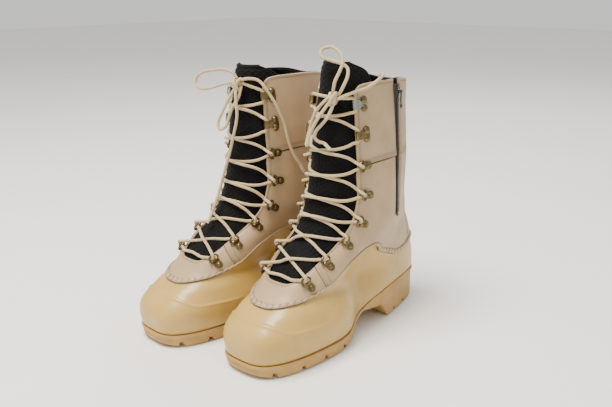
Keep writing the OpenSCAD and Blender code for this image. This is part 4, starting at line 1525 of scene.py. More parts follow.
    def quarters(self) -> None:
        """Builds both quarters; the outer one is cut open for the zip."""
        z, turn = self.spread(self.quarter_low, self.quarter_top)
        row_mid = turn[len(turn) // 2]
        left = int(
            np.argmin(
                abs(
                    self.last.skin(
                        np.full(row_mid.shape, 170.0), row_mid
                    )[:, 1] - self.zip_y + self.zip_half
                )
            )
        )
        right = max(
            left + 2,
            int(
                np.argmin(
                    abs(
                        self.last.skin(
                            np.full(row_mid.shape, 170.0), row_mid
                        )[:, 1] - self.zip_y - self.zip_half
                    )
                )
            )
        )
        t_a, t_b = turn[:, left : left + 1], turn[:, right : right + 1]
        goal_a = self.turn_at(z[:, left], self.zip_y - self.zip_half)[:, None]
        goal_b = self.turn_at(z[:, right], self.zip_y + self.zip_half)[:, None]
        reach = 14.0
        before = (goal_a - t_a) * np.clip((turn - t_a + reach) / reach, 0, 1)
        after = (goal_b - t_b) * np.clip((t_b + reach - turn) / reach, 0, 1)
        share = np.clip((turn - t_a) / (t_b - t_a), 0, 1)
        shift = np.where(
            turn < t_a, before,
            np.where(turn > t_b, after, (goal_a - t_a) * (1 - share) + (goal_b - t_b) * share)
        )
        turn = turn + shift * ease((z - 112) / 16)
        cell_z = (z[:-1, :-1] + z[1:, 1:]) / 2
        cell = np.arange(z.shape[1] - 1)[None, :] * np.ones((z.shape[0] - 1, 1))
        keep = ~((cell >= left) & (cell < right) & (cell_z > self.zip_foot))
        y = self.last.skin(z, turn)[..., 1]
        beside = np.maximum(np.abs(y - self.zip_y) - self.zip_half, 0)
        below = np.maximum(self.zip_foot - z, 0)
        seams = ["outer_throat", "outer_cross", "outer_cross_far", "zip_front", "zip_rear"]
        surface = self.panel(z, turn, seams, keep, np.hypot(beside, below), self.overlay(z, turn))
        self.finish(surface, "outer_quarter", Stuff.LEATHER, "leather", ["lateral_quarter"])
        z, turn = self.spread(self.mirrored(self.quarter_low), self.mirrored(self.quarter_top))
        surface = self.panel(
            z, turn, ["inner_throat", "inner_cross", "inner_cross_far"], lift=self.overlay(z, 360 - turn)
        )
        self.finish(surface, "inner_quarter", Stuff.LEATHER, "leather", ["medial_quarter"])

    def overlay(self, z: Floats, turn: Floats) -> Floats:
        """How much the quarter's front corner stands up where it lies over the vamp."""
        return 0.8 * (1 - ease((turn - 0.9 * (z - 60)) / 60)) * (1 - ease((z - 100) / 25))

    def shafts(self) -> None:
        """Builds the outer shaft in front of the zip and the shaft that goes from the zip round the back."""
        low = self.shaft_low[:-1] + (
            (209.0, float(self.turn_at(np.array([209.0]), self.zip_y - self.zip_half)[0])),
        )
        top = self.shaft_top[:-1] + (
            (297.0, float(self.turn_at(np.array([297.0]), self.zip_y - self.zip_half)[0])),
        )
        z, turn = self.spread(low, top)
        surface = self.panel(
            z, turn, ["outer_throat", "outer_seam_low", "outer_seam_high", "outer_collar", "zip_front"],
            lift=self.lap(z)
        )
        self.finish(surface, "outer_shaft", Stuff.LEATHER, "leather", ["lateral_shaft"])
        low = (
            (209.0, float(self.turn_at(np.array([209.0]), self.zip_y + self.zip_half)[0])),
        ) + self.rear_low[1:]
        top = (
            (297.0, float(self.turn_at(np.array([297.0]), self.zip_y + self.zip_half)[0])),
        ) + self.rear_top[1:]
        z, turn = self.spread(low, top)
        surface = self.panel(
            z, turn, ["inner_throat", "rear_seam_low", "rear_seam_high", "rear_collar", "zip_rear"],
            lift=self.lap(z)
        )
        self.finish(surface, "wrapped_shaft", Stuff.LEATHER, "leather", ["medial_shaft"])

    def lap(self, z: Floats) -> Floats:
        """How much the shafts stand over the quarters at the seam between them."""
        return 0.7 * (1 - ease((z - 206) / 16))

    def back_stay(self) -> None:
        """Builds the back stay, laid over both quarters' rear edges."""
        low = self.stay_low + tuple((z, 360 - t) for z, t in self.stay_low[-2::-1])
        top = tuple((self.seam_z, t) for t in (130, 155, 180, 205, 230))
        z, turn = self.spread(low, top)
        surface = self.panel(
            z, turn, ["outer_stay", "outer_stay_far", "inner_stay", "inner_stay_far"], lift=0.45
        )
        self.finish(surface, "leather_back_stay", Stuff.LEATHER, "leather", ["back_stay"])

    def band_path(self) -> tuple[Floats, Floats]:
        """Heights and turns along the leather's whole lower edge, evenly spaced."""
        half = self.vamp_low + self.quarter_low[1:] + self.stay_low[1:]
        loop = np.array(self.both_ways(half), float)
        knots, u = np.arange(len(loop), dtype=float), np.linspace(0, len(loop) - 1, 3000)
        z, turn = curve_through(knots, loop[:, 0], u), curve_through(knots, loop[:, 1], u)
        spots = self.last.skin(z, turn)
        run = run_along(spots)
        self.band_length = float(run[-1])
        even = np.linspace(0, run[-1], int(run[-1] / 0.72), endpoint=False)
        return np.interp(even, run, z), np.interp(even, run, turn)

    def band(self) -> None:
        """Builds the puffy strip along the leather's lower edge, pinched by threads and pierced by their holes.

        Across the strip its height is a flattened arch, 1.7 (1 - |2w - 1|^2.6); along it each thread pulls the
        strip down in a bell, and at its upper end sits a small pit, painted dark as shade.
        """
        low_z, low_t = self.band_path()
        count = len(low_z)
        run = np.arange(count) * self.band_length / count
        pitch = self.band_length / round(self.band_length / self.band_pitch)
        slope = np.linalg.norm(self.last.skin(low_z + 1, low_t) - self.last.skin(low_z, low_t), axis=1)
        w = np.concatenate(
            [[0, 0.02, 0.06, 0.12], np.linspace(0.19, 0.8, 9), [0.84, 0.88, 0.92, 0.96, 1.0]]
        )[:, None]
        z = low_z + (w - 0.1) * self.band_wide / slope
        turn = np.broadcast_to(low_t, z.shape)
        gap = np.abs((run + pitch / 2) % pitch - pitch / 2)
        puff = 1.75 * (1 - np.abs(2 * w / 1.06 - 1).clip(0, 1) ** 2.6)
        pinch = bump(gap, 0.85) * (0.85 * np.clip(puff / 1.75, 0, 1) ** 0.5) * ease(w / 0.3)
        soft = 0.16 * np.sin(run / 7.3) * np.sin(run / 2.9 + 1.1)
        pit = np.exp(
            -((gap / self.hole_along) ** 2 + ((w - self.hole_at) * self.band_wide / self.hole_across) ** 2))
        groove = 0.5 * bump((w - 0.93) * self.band_wide, 0.55)
        off = self.outer_face - 0.25 + puff - pinch + soft - 1.6 * pit - groove
        off = np.where(w < 0.12, np.minimum(off, 0.75 + 14 * w), off)
        # Painted shade in the thread holes, the top groove and the pinches; the lower edge is dark edge paint plus a
        # painted gap shadow
        edge_and_shade = np.clip(
            1.35 * pit + 0.5 * bump((w - 0.93) * self.band_wide, 0.6) + 0.3 * bump(gap, 0.5) + 0.9 * (w < 0.07), 0, 1)
        outer = self.last.at(z, turn, off)
        inner = self.last.at(z, turn, np.full(z.shape, 0.35))
        uv = np.stack([np.broadcast_to(run, z.shape), np.broadcast_to(w * self.band_wide, z.shape)], -1)
        surface = Surface()
        surface.sheet(outer, inner, uv, wrap_cols=True, edge_and_shade=edge_and_shade * np.ones_like(z))
        self.finish(surface, "lacing_band", Stuff.LEATHER, "leather", ["edge_band"])
        threads = Surface()
        at = np.arange(0, self.band_length - 0.01, pitch)
        col = np.round(at / self.band_length * count).astype(int) % count
        picks = [2, 3, 5, 7, 9, 11, 13]
        spine = outer[picks][:, col].transpose(1, 0, 2)
        out = self.last.normal(z, turn)[picks][:, col].transpose(1, 0, 2)
        spine = spine + out * np.array([-0.3, 0.14, 0.2, 0.2, 0.2, 0.16, -0.2])[None, :, None]
        heading = spine[:, -1] - spine[:, 0]
        heading /= np.linalg.norm(heading, axis=1, keepdims=True)
        side = np.cross(heading, out[:, 3])
        a = np.linspace(0, 2 * np.pi, 6, endpoint=False)
        ring = np.cos(a)[
            None, None, :, None
        ] * side[:, None, None] + np.sin(a)[None, None, :, None] * out[:, :, None]
        threads.many(spine[:, :, None] + 0.4 * ring)
        self.finish(threads, "band_threads", Stuff.THREAD, "lace_cotton")

    def stitches(self) -> None:
        """Builds every row of stitches as one piece."""
        surface = Surface()
        for name, line in self.lines.items():
            lap = 0.45 if "stay" in name else (0.5 if "seam" in name else 0.0)
            raised = line + lap * self.outward(line)
            self.stitch_row(surface, raised - 0.32 * self.outward(line))
        self.finish(surface, "stitching", Stuff.THREAD, "lace_cotton")

    def make(self) -> None:
        """Builds every leather piece and its threads."""
        self.plan_stitches()
        self.vamp()
        self.quarters()
        self.shafts()
        self.back_stay()
        self.band()
        self.stitches()


# ---- padding
# ---------------------------------------------------------------------------------------------------
@dataclass
class Padding(Boot):
    """The padded tongue in coarse net and the padded lining that rolls over the collar."""

    tongue_half: tuple[tuple[float, float], ...] = (
        (84, 16), (94, 28), (105, 39), (122, 47), (142, 56), (170, 60), (205, 61), (240, 62), (270, 65), (292, 68),
        (302, 58), (309, 38))
    tongue_thick: float = 4.5
    tongue_skin: float = -1.4
    tongue_rise: float = 0.0
    rise_from: float = 262.0
    rise_over: float = 40.0
    mesh_wide: float = 4.6
    mesh_high: float = 6.4
    lining_gap: tuple[tuple[float, float], ...] = (
        (54, 2), (70, 4), (84, 22), (94, 34), (105, 44), (122, 52), (142, 61), (170, 65), (205, 66), (240, 67), (270, 70), (296, 76))
    collar: tuple[tuple[float, float], ...] = (
        (42, 287), (49, 294), (62, 296.5), (78, 297), (101, 297), (128, 295), (152, 291), (180, 290), (208, 291), (232, 295),
        (257, 297), (282, 297), (298, 296.5), (311, 294), (318, 287))

    def tongue(self) -> None:
        """Builds the tongue: a puffed pad whose face is a coarse net of staggered scales.

        The net's height is |cos(pi a)| ^ 0.6 |cos(pi b)| ^ 0.6 over cells a and b, every other column half a cell
        lower; the pad's two faces meet in a round edge.
        """
        knots = [
            p[0] + self.tongue_rise * float(
                ease((p[0] - self.rise_from) / self.rise_over)
            ) for p in self.tongue_half
        ]
        tip_z = knots[-1] + 0.5
        z_even = graded(tip_z - 84, 0.95, (0, 0.1, 0.4, 0.9, 1.6, 2.4)) + 84
        half = curve_through(knots, [p[1] for p in self.tongue_half], z_even)
        u = np.concatenate(
            [[-1, -0.998, -0.99, -0.975], np.linspace(-0.955, 0.955, 124), [0.975, 0.99, 0.998, 1]]
        )
        z = np.broadcast_to(z_even[:, None], (len(z_even), len(u)))
        turn = half[:, None] * u
        flat = self.last.skin(z, turn)
        over = np.linalg.norm(np.diff(flat, axis=1), axis=-1).cumsum(1)
        over = np.concatenate([np.zeros((len(z_even), 1)), over], 1)
        middle = over - over[:, -1:] / 2
        side_gap = np.minimum(over, over[:, -1:] - over)
        edge = np.minimum(side_gap, np.minimum((tip_z - z) * 0.9, (z - 84) * 2))
        a, b = middle / self.mesh_wide, z / self.mesh_high
        b = b + 0.5 * (np.round(a) % 2)
        net = np.abs(np.cos(np.pi * a)) ** 0.5 * np.abs(
            np.cos(np.pi * (b + 0.10 * np.sin(2 * np.pi * b)))
        ) ** 0.7
        # The pad's seam: a bound edge beside the net
        bound = ease((edge - 4.0) / 1.2)
        swell = 1.1 * np.sin(np.pi * np.clip(over / over[:, -1:], 0, 1)) ** 0.7
        channel = 0.8 * bump(edge - 4.4, 0.9)
        quilt = 0.35 * np.sin(z / 14.0) * bump(middle, 30)
        top = ease((z - tip_z + 17.5) / 16)
        off = self.tongue_skin + swell + 0.75 * net * bound - channel + quilt - 0.6 - 1.4 * top
        off = off - 2.6 * (1 - rounded(edge, 2.6))
        under = self.tongue_skin - self.tongue_thick + 1.6 * (
            1 - rounded(edge, 2.6)
        ) - 0.5 * swell - 0.6 * top
        uv = np.stack([middle, z], -1)
        surface = Surface()
        # Painted shade: the net is darker in the hollows between its scales
        surface.sheet(
            self.last.at(z, turn, off), self.last.at(z, turn, under), uv, edge_and_shade=0.5 * (1 - net) * bound
        )
        piece = self.finish(surface, "padded_tongue", Stuff.NET, "tongue_fabric", ["tongue"], sharp=80)

    def lining(self) -> None:
        """Builds the lining: a padded wall inside the shaft whose upper end rolls up against the leather's rim."""
        share = np.concatenate(
            [[0, 0.001, 0.004, 0.009], np.linspace(0.016, 0.984, 170), [0.991, 0.996, 0.999, 1]]
        )
        rise = np.concatenate(
            [np.linspace(0, 0.86, 60), np.linspace(0.87, 0.985, 16), [0.99, 0.994, 0.998, 1.0]]
        )[:, None]
        knots, gaps = [p[0] for p in self.lining_gap], [p[1] for p in self.lining_gap]
        top_turn = 76 + (360 - 152) * share
        rim = curve_through([c[0] for c in self.collar], [c[1] for c in self.collar], top_turn) + 0.4
        z = 54 + (rim - 54) * rise
        gap = curve_through(knots, gaps, z)
        turn = gap + (360 - 2 * gap) * share
        below = np.minimum(rim - z, 40)
        side = np.minimum(share, 1 - share) * 300 * np.ones_like(z)
        edge = np.minimum(below, np.minimum(side, z - 54))
        high = ease((z - 96) / 30)
        roll = bump(below - 5, 6.5)
        soft = 0.35 * np.sin(z / 11.0 + turn / 23.0) + 0.25 * np.sin(turn / 9.0)
        out = -0.75 + 0.55 * roll - 5.1 * (1 - high) - 1.5 * (1 - rounded(edge, 1.8))
        within = out - 3.4 - 1.7 * roll - soft * ease(edge / 4) + 2.6 * (1 - rounded(edge, 2.6))
        uv = np.stack([np.radians(turn) * 40, z], -1)
        surface = Surface()
        surface.sheet(self.last.at(z, turn, out), self.last.at(z, turn, np.minimum(within, out - 0.3)), uv)
        piece = self.finish(surface, "padded_lining", Stuff.LINING, "lining_fabric", ["lining"], sharp=80)


# ---- zip -------------------------------------------------------------------------------------------------
# ----------
@dataclass
class Zip(Boot):
    """The zip up the outer side: woven tape, teeth, stops, slider and pull.

    Its own place is (outwards, to the rear, up the zip), from its lower end.
    """

    foot: tuple[float, float, float] = (41.6, 73, 136)
    head: tuple[float, float, float] = (36.4, 73, 291)
    turn: float = 10.0
    tooth_pitch: float = 1.55
    slider_long: float = 12.0
    slider_wide: float = 7.8
    pin_out: float = 6.4
    pin_radius: float = 0.7
    tape_half: float = 6.5

    @property
    def long(self) -> float:
        """The zip's length."""
        return float(np.linalg.norm(np.subtract(self.head, self.foot)))

    @property
    def slider_foot(self) -> float:
        """Where the slider's lower end is."""
        return self.long - 3 - self.slider_long

    def put(self, points: Floats) -> Floats:
        """Puts points of the zip's own place into the boot's: turned outwards, leant in, moved to the foot."""
        p = np.asarray(points, float)
        a, lean = math.radians(self.turn), math.atan2(
            self.foot[0] - self.head[0], self.head[2] - self.foot[2]
        )
        x = math.cos(a) * p[..., 0] - math.sin(a) * p[..., 1]
        y = math.sin(a) * p[..., 0] + math.cos(a) * p[..., 1]
        z = p[..., 2]
        turned = np.stack(
            [math.cos(lean) * x - math.sin(lean) * z, y, math.sin(lean) * x + math.cos(lean) * z], -1
        )
        return turned + np.array(self.foot, float)

    def tape(self) -> None:
        """Builds the tape: a thin strip, slightly raised where its halves meet under the teeth, bound at its edges."""
        hem = self.tape_half - np.array([0.0, 0.1, 0.3])
        across = np.concatenate(
            [-hem, np.linspace(0.8 - self.tape_half, self.tape_half - 0.8, 42), hem[::-1]]
        )
        up = np.linspace(-4, self.long - 0.2, 300)[:, None]
        over = 0.75 + 0.4 * bump(
            np.abs(across) - 2.6, 0.7
        ) - 0.5 * bump(across, 0.25) + 0.05 * np.sin(up * 2.6) * np.sin(across * 4.5)
        over = over - 0.35 * (1 - rounded(self.tape_half - np.abs(across), 0.5))
        wide = np.broadcast_to(across, over.shape)
        high = np.broadcast_to(up, over.shape)
        surface = Surface()
        surface.sheet(
            self.put(np.stack([over, wide, high], -1)), self.put(
                np.stack([np.full(over.shape, -0.6), wide, high], -1)
            ),
            np.stack([high, wide], -1))
        self.finish(surface, "woven_tape", Stuff.TAPE, "zip_fabric", ["zip_tape"])

    def teeth(self) -> None:
        """Builds the teeth: two rows of little hooked blocks that reach between each other, and the stops."""
        surface = Surface()
        count = int((self.long - 4) / self.tooth_pitch)
        section = np.array(
            [[0.0, -0.45], [0.35, -0.55], [0.9, -0.4], [1.15, 0.0], [0.9, 0.4], [0.35, 0.55], [0.0, 0.45]]
        )
        for sign in (-1, 1):
            middle = np.arange(count) * self.tooth_pitch + 1 + (0.5 * self.tooth_pitch if sign > 0 else 0)
            reach = np.array([-0.75, -0.62, 0.4, 1.1, 2.3, 2.45]) * sign
            grow = np.array([0.6, 0.95, 1.1, 0.85, 1.0, 0.7])
            x = 0.45 + section[None, None, :, 0] * grow[None, :, None] * 1.25 + 0 * middle[:, None, None]
            y = reach[None, :, None] + 0 * x
            z = middle[:, None, None] + section[None, None, :, 1] * grow[None, :, None]
            surface.many(self.put(np.stack([x, y, z], -1)))
        for low, high in ((-2.4, -0.1), (self.long - 1.9, self.long)):
            ring = np.array([[0.4, -2.4], [1.7, -2.4], [2.3, -1.6], [2.3, 1.6], [1.7, 2.4], [0.4, 2.4]])
            heights = np.array([low, low + 0.3, high - 0.3, high])
            shrink = np.array([0.85, 1, 1, 0.85])
            stack = np.concatenate([
                ring[None] * shrink[:, None, None] + [[[0.2, 0]]] * (1 - shrink[:, None, None]),
                heights[:, None, None] * np.ones((1, 6, 1))], -1)
            surface.many(self.put(stack)[None])
        self.finish(surface, "zip_teeth", Stuff.TEETH, "zip_plastic", ["zip_chain"], sharp=35)

    def slider(self) -> None:
        """Builds the slider: a waisted upper plate, its flanges, the bridge over the pin, and the pin."""
        surface = Surface()
        s, w = self.slider_foot, self.slider_wide / 2
        turn = np.linspace(0, 2 * np.pi, 48, endpoint=False)
        # The plate is wider at its upper end, where the two rows part
        up = s + self.slider_long / 2 + self.slider_long / 2 * np.sin(turn)
        wide = w * (0.86 + 0.14 * np.sin(turn)) * np.sign(np.cos(turn)) * np.abs(np.cos(turn)) ** 0.55
        outline = np.stack([wide, up], -1)
        add_plate(surface, outline, lambda p: self.put(p[:, [2, 0, 1]]), 2.45, 3.8, 0.45)
        for sign in (-1, 1):
            run = np.linspace(s + 0.6, s + self.slider_long - 0.6, 14)
            flange = np.stack(
                [np.full(14, 1.7), sign * (w - 0.75 - 0.5 * (1 - (run - s) / self.slider_long)), run], -1
            )
            add_tube(surface, self.put(flange), 0.78, 10)
            ear = np.array([[3.2, sign * 2.3, s + 4.2], [5.0, sign * 2.3, s + 4.9], [self.pin_out + 0.3, sign * 2.3, s + 6.5],
                            [5.4, sign * 2.3, s + 8.2], [3.2, sign * 2.3, s + 9.0]])
            add_tube(surface, smooth_route(self.put(ear), 0.5), 0.62, 10)
        pin = np.stack([np.full(8, self.pin_out), np.linspace(-2.6, 2.6, 8), np.full(8, s + 6.5)], -1)
        add_tube(surface, self.put(pin), self.pin_radius, 14)
        self.finish(surface, "zip_slider_body", Stuff.ENAMEL, "zip_metal", ["zip_slider"], "slider", sharp=35)

    def pull(self) -> None:
        """Builds the pull: an eye round the pin, a neck, and a tapered tab with a round hole and a raised rim."""
        surface = Surface()
        pin = self.slider_foot + 6.5
        a = np.linspace(0, 2 * np.pi, 40, endpoint=False)
        ring = np.stack([self.pin_out + 1.3 * np.cos(a), 0 * a, pin + 1.3 * np.sin(a)], -1)
        add_tube(surface, self.put(ring), np.full(40, 0.5), 10, closed=True)
        outer = np.stack(
            [
                (2.45 + 0.35 * np.sin(a)) * np.sign(np.cos(a)) * np.abs(np.cos(a)) ** 0.7,
                pin - 11.5 - 8.3 * np.sign(np.sin(a)) * np.abs(np.sin(a)) ** 0.8
            ],
            -1
        )
        hole = np.stack([1.3 * np.cos(a), pin - 16.5 - 1.3 * np.sin(a)], -1)
        self.holed(surface, outer, hole, self.pin_out, 0.7)
        neck = np.array(
            [[self.pin_out, 0, pin - 1.3], [self.pin_out, 0, pin - 2.6], [self.pin_out, 0, pin - 4.6]]
        )
        add_tube(surface, smooth_route(self.put(neck), 0.4), 0.85, 12)
        rim = np.stack(
            [np.full(40, self.pin_out + 0.62), 1.75 * np.cos(a), pin - 16.5 + 1.75 * np.sin(a)], -1
        )
        add_tube(surface, self.put(rim), np.full(40, 0.28), 8, closed=True)
        self.finish(surface, "zip_pull_tab", Stuff.ENAMEL, "zip_metal", ["zip_pull"], "pull", sharp=35)

    def holed(self, surface: Surface, outer: Floats, hole: Floats, middle: float, thick: float) -> None:
        """Adds a plate with a hole: one closed ring of faces between two outlines of as many points."""
        rim, share = np.array([-0.5, -0.35, 0.35, 0.5]) * thick, np.array([0.94, 1, 1, 0.94])
        rows = []
        for x, k in zip(rim, share):
            rows.append(
                np.concatenate(
                    [np.full((len(outer), 1), middle + x), outer.mean(0) + (outer - outer.mean(0)) * k], 1
                )
            )
        for x, k in zip(rim[::-1], (1.15, 1.0, 1.0, 1.15)):
            rows.append(
                np.concatenate(
                    [np.full((len(hole), 1), middle + x), hole.mean(0) + (hole - hole.mean(0)) * k], 1
                )
            )
        surface.grid(self.put(np.stack(rows)), wrap_rows=True, wrap_cols=True)

    def make(self) -> None:
        """Builds the whole zip."""
        self.tape()
        self.teeth()
        self.slider()
        self.pull()


# ---- fittings
# --------------------------------------------------------------------------------------------------------
@dataclass
class Fittings(Throat):
    """Hooks, D-rings, the straps that hold them, and their rivets."""

    plate_out: float = 2.05
    bar_in: float = 3.2
    wire: float = 2.2
    strap_thick: float = 1.0
    ring_half: float = 6.1
    ring_tilt: float = -16.0
    rivet_back: float = -4.0
    dome_spread: float = 4.6

    @property
    def bar_out(self) -> float:
        """How far a D-ring's bar stands off the leather."""
        return self.plate_out + 2.6

    def strap(self, surface: Surface, row: int, side: int, path: Floats, half: Floats, thick: float) -> None:
        """Adds a bent strap: a rounded flat section carried along a path.

        Args:
            surface: What to add it to.
            row: The fitting's row.
            side: Its side.
            path: The strap's middle line, as (towards the tongue, out).
            half: Half its width at each point of the path.
            thick: Its thickness.
        """
        ahead = np.gradient(path, axis=0)
        ahead /= np.linalg.norm(ahead, axis=1, keepdims=True)
        out = np.stack([-ahead[:, 1], ahead[:, 0]], -1)
        a = np.linspace(0, 2 * np.pi, 20, endpoint=False)
        ca, sa = np.cos(a), np.sin(a)
        wide = np.sign(ca) * np.abs(ca) ** 0.25 * half[:, None]
        up = np.sign(sa) * np.abs(sa) ** 0.6 * thick / 2
        wide = wide - np.sign(ca) * 0.3 * (np.abs(sa) > 0.99)
        x = path[:, :1] + out[:, :1] * up
        z = path[:, 1:] + out[:, 1:] * up
        rings = np.stack([x, wide, z], -1)
        placed = self.spot(row, side, rings)
        surface.grid(placed, wrap_cols=True)
        surface.face(placed[0])
        surface.face(placed[-1])

    def dome(
        self, surface: Surface, row: int, side: int, centre: tuple[float, float, float], width: float,
        high: float
    ) -> None:
        """Adds a rivet's dome: a flat rim, a small step, and a cap that is part of a ball."""
        r = width / 2
        t = np.linspace(0, 1, 9)
        cap = np.stack([0.86 * r * np.cos(t * np.pi / 2), 0.35 + high * np.sin(t * np.pi / 2)], -1)
        profile = np.concatenate(
            [[[r * 0.96, -0.5], [r, -0.1], [r, 0.18], [r * 0.96, 0.32], [r * 0.89, 0.34]], cap]
        )
        profile[-1, 0] = 0
        a = np.linspace(0, 2 * np.pi, 28, endpoint=False)
        rings = np.stack(
            [profile[:, :1] * np.cos(a) + centre[0], profile[:, :1] * np.sin(a) + centre[1],
             profile[:, 1:] + centre[2] + 0 * a], -1)
        placed = self.spot(row, side, rings)
        surface.grid(placed, wrap_cols=True)
        surface.face(placed[0])

    def arc(
        self, centre: tuple[float, float], radius: float, start: float, end: float, count: int = 14
    ) -> Floats:
        """Points of an arc, angles in degrees from the direction towards the tongue."""
        a = np.radians(np.linspace(start, end, count))
        return np.stack([centre[0] + radius * np.cos(a), centre[1] + radius * np.sin(a)], -1)

    def hooks(self) -> None:
        """Builds the hooks: a base plate under two rivets and a strap that curls over and back; the outer top one is steel."""
        brass, steel, domes = Surface(), Surface(), Surface()
        base = self.plate_out + 0.55
        curl = self.arc((8.0, base + 3.1), 3.1, -90, 95, 18)
        lip = np.array([[5.6, base + 6.35], [4.4, base + 6.6], [3.4, base + 7.0]])
        flat = np.stack([np.linspace(-0.5, 7.4, 12), np.full(12, base)], -1)
        path = np.concatenate([flat, curl, lip])
        half = np.concatenate([np.full(12, 4.6), np.full(18, 4.6), [4.5, 4.1, 3.1]])
        a = np.linspace(0, 2 * np.pi, 72, endpoint=False)
        lobe = np.stack(
            [-3.6 + 4.5 * np.cos(a), 4.5 * np.sin(a) + self.dome_spread * np.tanh(2.6 * np.sin(a)) * 1.0],
            -1
        )
        for row in self.hook_rows:
            for side in (0, 1):
                metal = steel if (row, side) == (0, 0) else brass
                self.strap(metal, row, side, path, half, self.strap_thick)
                add_plate(
                    metal, lobe, lambda p, row=row, side=side: self.spot(row, side, p),
                    self.plate_out - 0.1, self.plate_out + 1.15, 0.3
                )
                for up in (-1, 1):
                    self.dome(domes, row, side, (-3.6, up * self.dome_spread, self.plate_out + 1.2), 8.3, 1.7)
        self.finish(brass, "brass_hooks", Stuff.BRASS, "fitting_brass", ["hooks"], sharp=40)
        self.finish(steel, "steel_hook", Stuff.STEEL, "fitting_brass", sharp=40)
        self.rivets(domes)

    def rivets(self, surface: Surface) -> None:
        """Adds the D-ring straps' rivets to the hooks' and makes them one piece."""
        for row in self.ring_rows:
            for side in (0, 1):
                self.dome(surface, row, side, (self.rivet_back, 0, self.plate_out + 1.75), 5.4, 1.0)
        self.finish(surface, "rivet_heads", Stuff.BRASS, "fitting_brass", ["rivets"], sharp=40)

    def rings(self) -> None:
        """Builds the D-rings: a straight bar in the strap, and a bow of the same wire towards the tongue."""
        surface = Surface()
        half, soft = self.ring_half, 2.0
        a = np.radians(np.linspace(-78, 78, 22))
        bow = np.stack([half * np.cos(a) + 0.5, half * np.sin(a)], -1)
        bar = np.array(
            [[0.35, half - 0.55], [0.0, half - soft], [0, 0], [0.0, -half + soft], [0.35, -half + 0.55]]
        )
        flat = np.concatenate([bow, bar])
        tilt = math.radians(self.ring_tilt)
        ring = np.stack(
            [
                self.bar_in + flat[:, 0] * math.cos(tilt), flat[:, 1],
                self.bar_out - flat[:, 0] * math.sin(tilt)
            ],
            -1
        )
        closed = smooth_route(np.concatenate([ring, ring[:2]]), 0.55)
        start = int(np.argmin(np.linalg.norm(closed[-8:] - closed[1], axis=1)))
        closed = closed[1 : len(closed) - 8 + start]
        for row in self.ring_rows:
            for side in (0, 1):
                add_tube(surface, self.spot(row, side, closed), self.wire / 2, 12, closed=True)
        self.finish(surface, "wire_d_rings", Stuff.BRASS, "fitting_brass", ["d_rings"], sharp=60)

    def clips(self) -> None:
        """Builds the straps that hold the D-rings: a domed end under a rivet, a ridge, and a tight wrap round the bar."""
        surface = Surface()
        base = self.plate_out + 0.75
        wrap = self.wire / 2 + 0.55
        tail = np.stack(
            [np.linspace(-8.6, -0.6, 18), base + 0.55 * rounded(np.linspace(0, 4.5, 18), 3.0)], -1
        )
        ridge = np.array([[0.2, base + 0.8], [0.8, base + 1.25], [1.3, base + 1.9]])
        over = self.arc((self.bar_in, self.bar_out), wrap, 170, -75, 22)
        under = np.array(
            [[self.bar_in - 0.6, self.plate_out + 0.5], [self.bar_in - 2.4, self.plate_out + 0.3]]
        )
        path = np.concatenate([tail, ridge, over, under])
        gap = np.clip(path[:18, 0] + 8.75, 0.05, None)
        half = np.concatenate(
            [
                4.6 * np.sqrt(np.clip(1 - (1 - np.clip(gap / 4.6, 0, 1)) ** 2, 0.01, 1)),
                np.full(len(path) - 18, 4.5)
            ]
        )
        for row in self.ring_rows:
            for side in (0, 1):
                self.strap(surface, row, side, path, half, 1.1)
        self.finish(surface, "ring_straps", Stuff.BRASS, "fitting_brass", ["ring_clips"], sharp=40)

    def make(self) -> None:
        """Builds every fitting."""
        self.hooks()
        self.rings()
        self.clips()


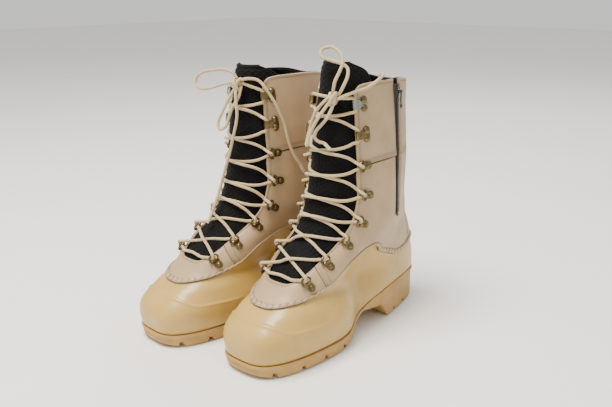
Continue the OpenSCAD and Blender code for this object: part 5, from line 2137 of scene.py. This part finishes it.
# ---- studio
# ----------------------------------------------------------------------------------------------------------
@dataclass
class Studio:
    """The camera, a wide flat pale floor, and soft lights."""

    target: tuple[float, float, float] = (0.0638, 0.0075, 0.130)
    azimuth: float = 40.174
    elevation: float = 18.773
    distance: float = 0.84046
    lens: float = 42.09
    shift: tuple[float, float] = (-0.0404, 0.0365)

    def back(self, azimuth: float, elevation: float) -> Vector:
        """Unit direction from the target back to a viewer at an azimuth and elevation in degrees."""
        a, e = math.radians(azimuth), math.radians(elevation)
        return Vector((math.sin(a) * math.cos(e), -math.cos(a) * math.cos(e), math.sin(e)))

    def camera(self) -> None:
        """Makes the camera at the object's own viewing angle."""
        lens = bpy.data.cameras.new("camera")
        lens.lens, lens.sensor_width = self.lens, 36.0
        lens.shift_x, lens.shift_y = self.shift
        eye = bpy.data.objects.new("camera", lens)
        back = self.back(self.azimuth, self.elevation)
        eye.location = Vector(self.target) + back * self.distance
        eye.rotation_euler = back.to_track_quat("Z", "Y").to_euler()
        bpy.context.scene.collection.objects.link(eye)
        bpy.context.scene.camera = eye

    def light(
        self, name: str, azimuth: float, elevation: float, reach: float, size: float, power: float,
        colour: str
    ) -> None:
        """Makes one square soft light that faces the boots.

        Args:
            name: The light's name.
            azimuth: Where it stands round the boots, in degrees.
            elevation: How high it stands, in degrees.
            reach: Its distance in metres.
            size: Its side in metres.
            power: Its power in watts.
            colour: Its colour as sRGB hex.
        """
        lamp = bpy.data.lights.new(name, "AREA")
        lamp.size, lamp.energy, lamp.color = size, power, linear(colour)[:3]
        stand = bpy.data.objects.new(name, lamp)
        back = self.back(azimuth, elevation)
        stand.location = Vector((0, 0, 0.15)) + back * reach
        stand.rotation_euler = back.to_track_quat("Z", "Y").to_euler()
        bpy.context.scene.collection.objects.link(stand)

    def floor(self) -> None:
        """Makes the floor: a wide pale sheet, all round the boots."""
        reach = np.linspace(-6, 6, 25)
        x, y = np.meshgrid(reach, reach)
        points = np.stack([x, y, np.full(x.shape, -0.0004)], -1).reshape(-1, 3)
        i = np.arange(24)
        a = (i[:, None] * 25 + i[None, :]).reshape(-1)
        mesh = bpy.data.meshes.new("floor")
        mesh.from_pydata(points.tolist(), [], np.stack([a, a + 1, a + 26, a + 25], -1).tolist())
        stuff = Finish(
            "pale painted floor", "#F4F2EE", "#F1EFEB", "#E6E3DD", 0.9, drift_mm=300.0, grain_mm=4.0,
            grain_depth_mm=0.02, grain_shade=0.03
        )
        mesh.materials.append(stuff.make())
        ground = bpy.data.objects.new("floor", mesh)
        bpy.context.scene.collection.objects.link(ground)

    def make(self) -> None:
        """Makes the floor, the world's soft white and the lights."""
        self.floor()
        world = bpy.data.worlds.new("white room")
        world.use_nodes = True
        world.node_tree.nodes["Background"].inputs["Color"].default_value = linear("#F7F6F3")
        world.node_tree.nodes["Background"].inputs["Strength"].default_value = 0.9
        bpy.context.scene.world = world
        self.light("key", -15, 72, 1.9, 0.9, 84, "#FFF8EE")
        self.light("side", 75, 30, 2.2, 1.2, 2, "#FFF4E4")
        self.light("rim", 200, 40, 2.2, 1.2, 12, "#F2F5FA")


def build_boot(side: Side) -> None:
    """Builds one boot from its cords outwards.

    Args:
        side: Which boot.
    """
    stance = Stance.of(side)
    left = side is Side.LEFT
    lacing = Lacing(
        stance, knot_at=(14, -11, 282) if left else (-7, -12, 289), knot_turn=20.0 if left else -9.0)
    lacing.free_ends(LEFT_BOW if left else RIGHT_BOW)
    lacing.laced()
    FootShell(stance).make()
    sole = Sole(stance)
    sole.tread()
    sole.rand()
    Upper(stance).make()
    padding = Padding(stance, tongue_rise=10.0 if left else 0.0)
    padding.tongue()
    padding.lining()
    Zip(stance).make()
    Fittings(stance).make()
    inside = Inside(stance)
    inside.footbed()
    inside.stiffeners()


def main() -> None:
    """Builds the camera, both boots and the studio."""
    logging.basicConfig(level=logging.INFO, format="%(message)s")
    studio = Studio()
    studio.camera()
    for side in Side:
        build_boot(side)
    studio.make()


if __name__ == "__main__":
    main()
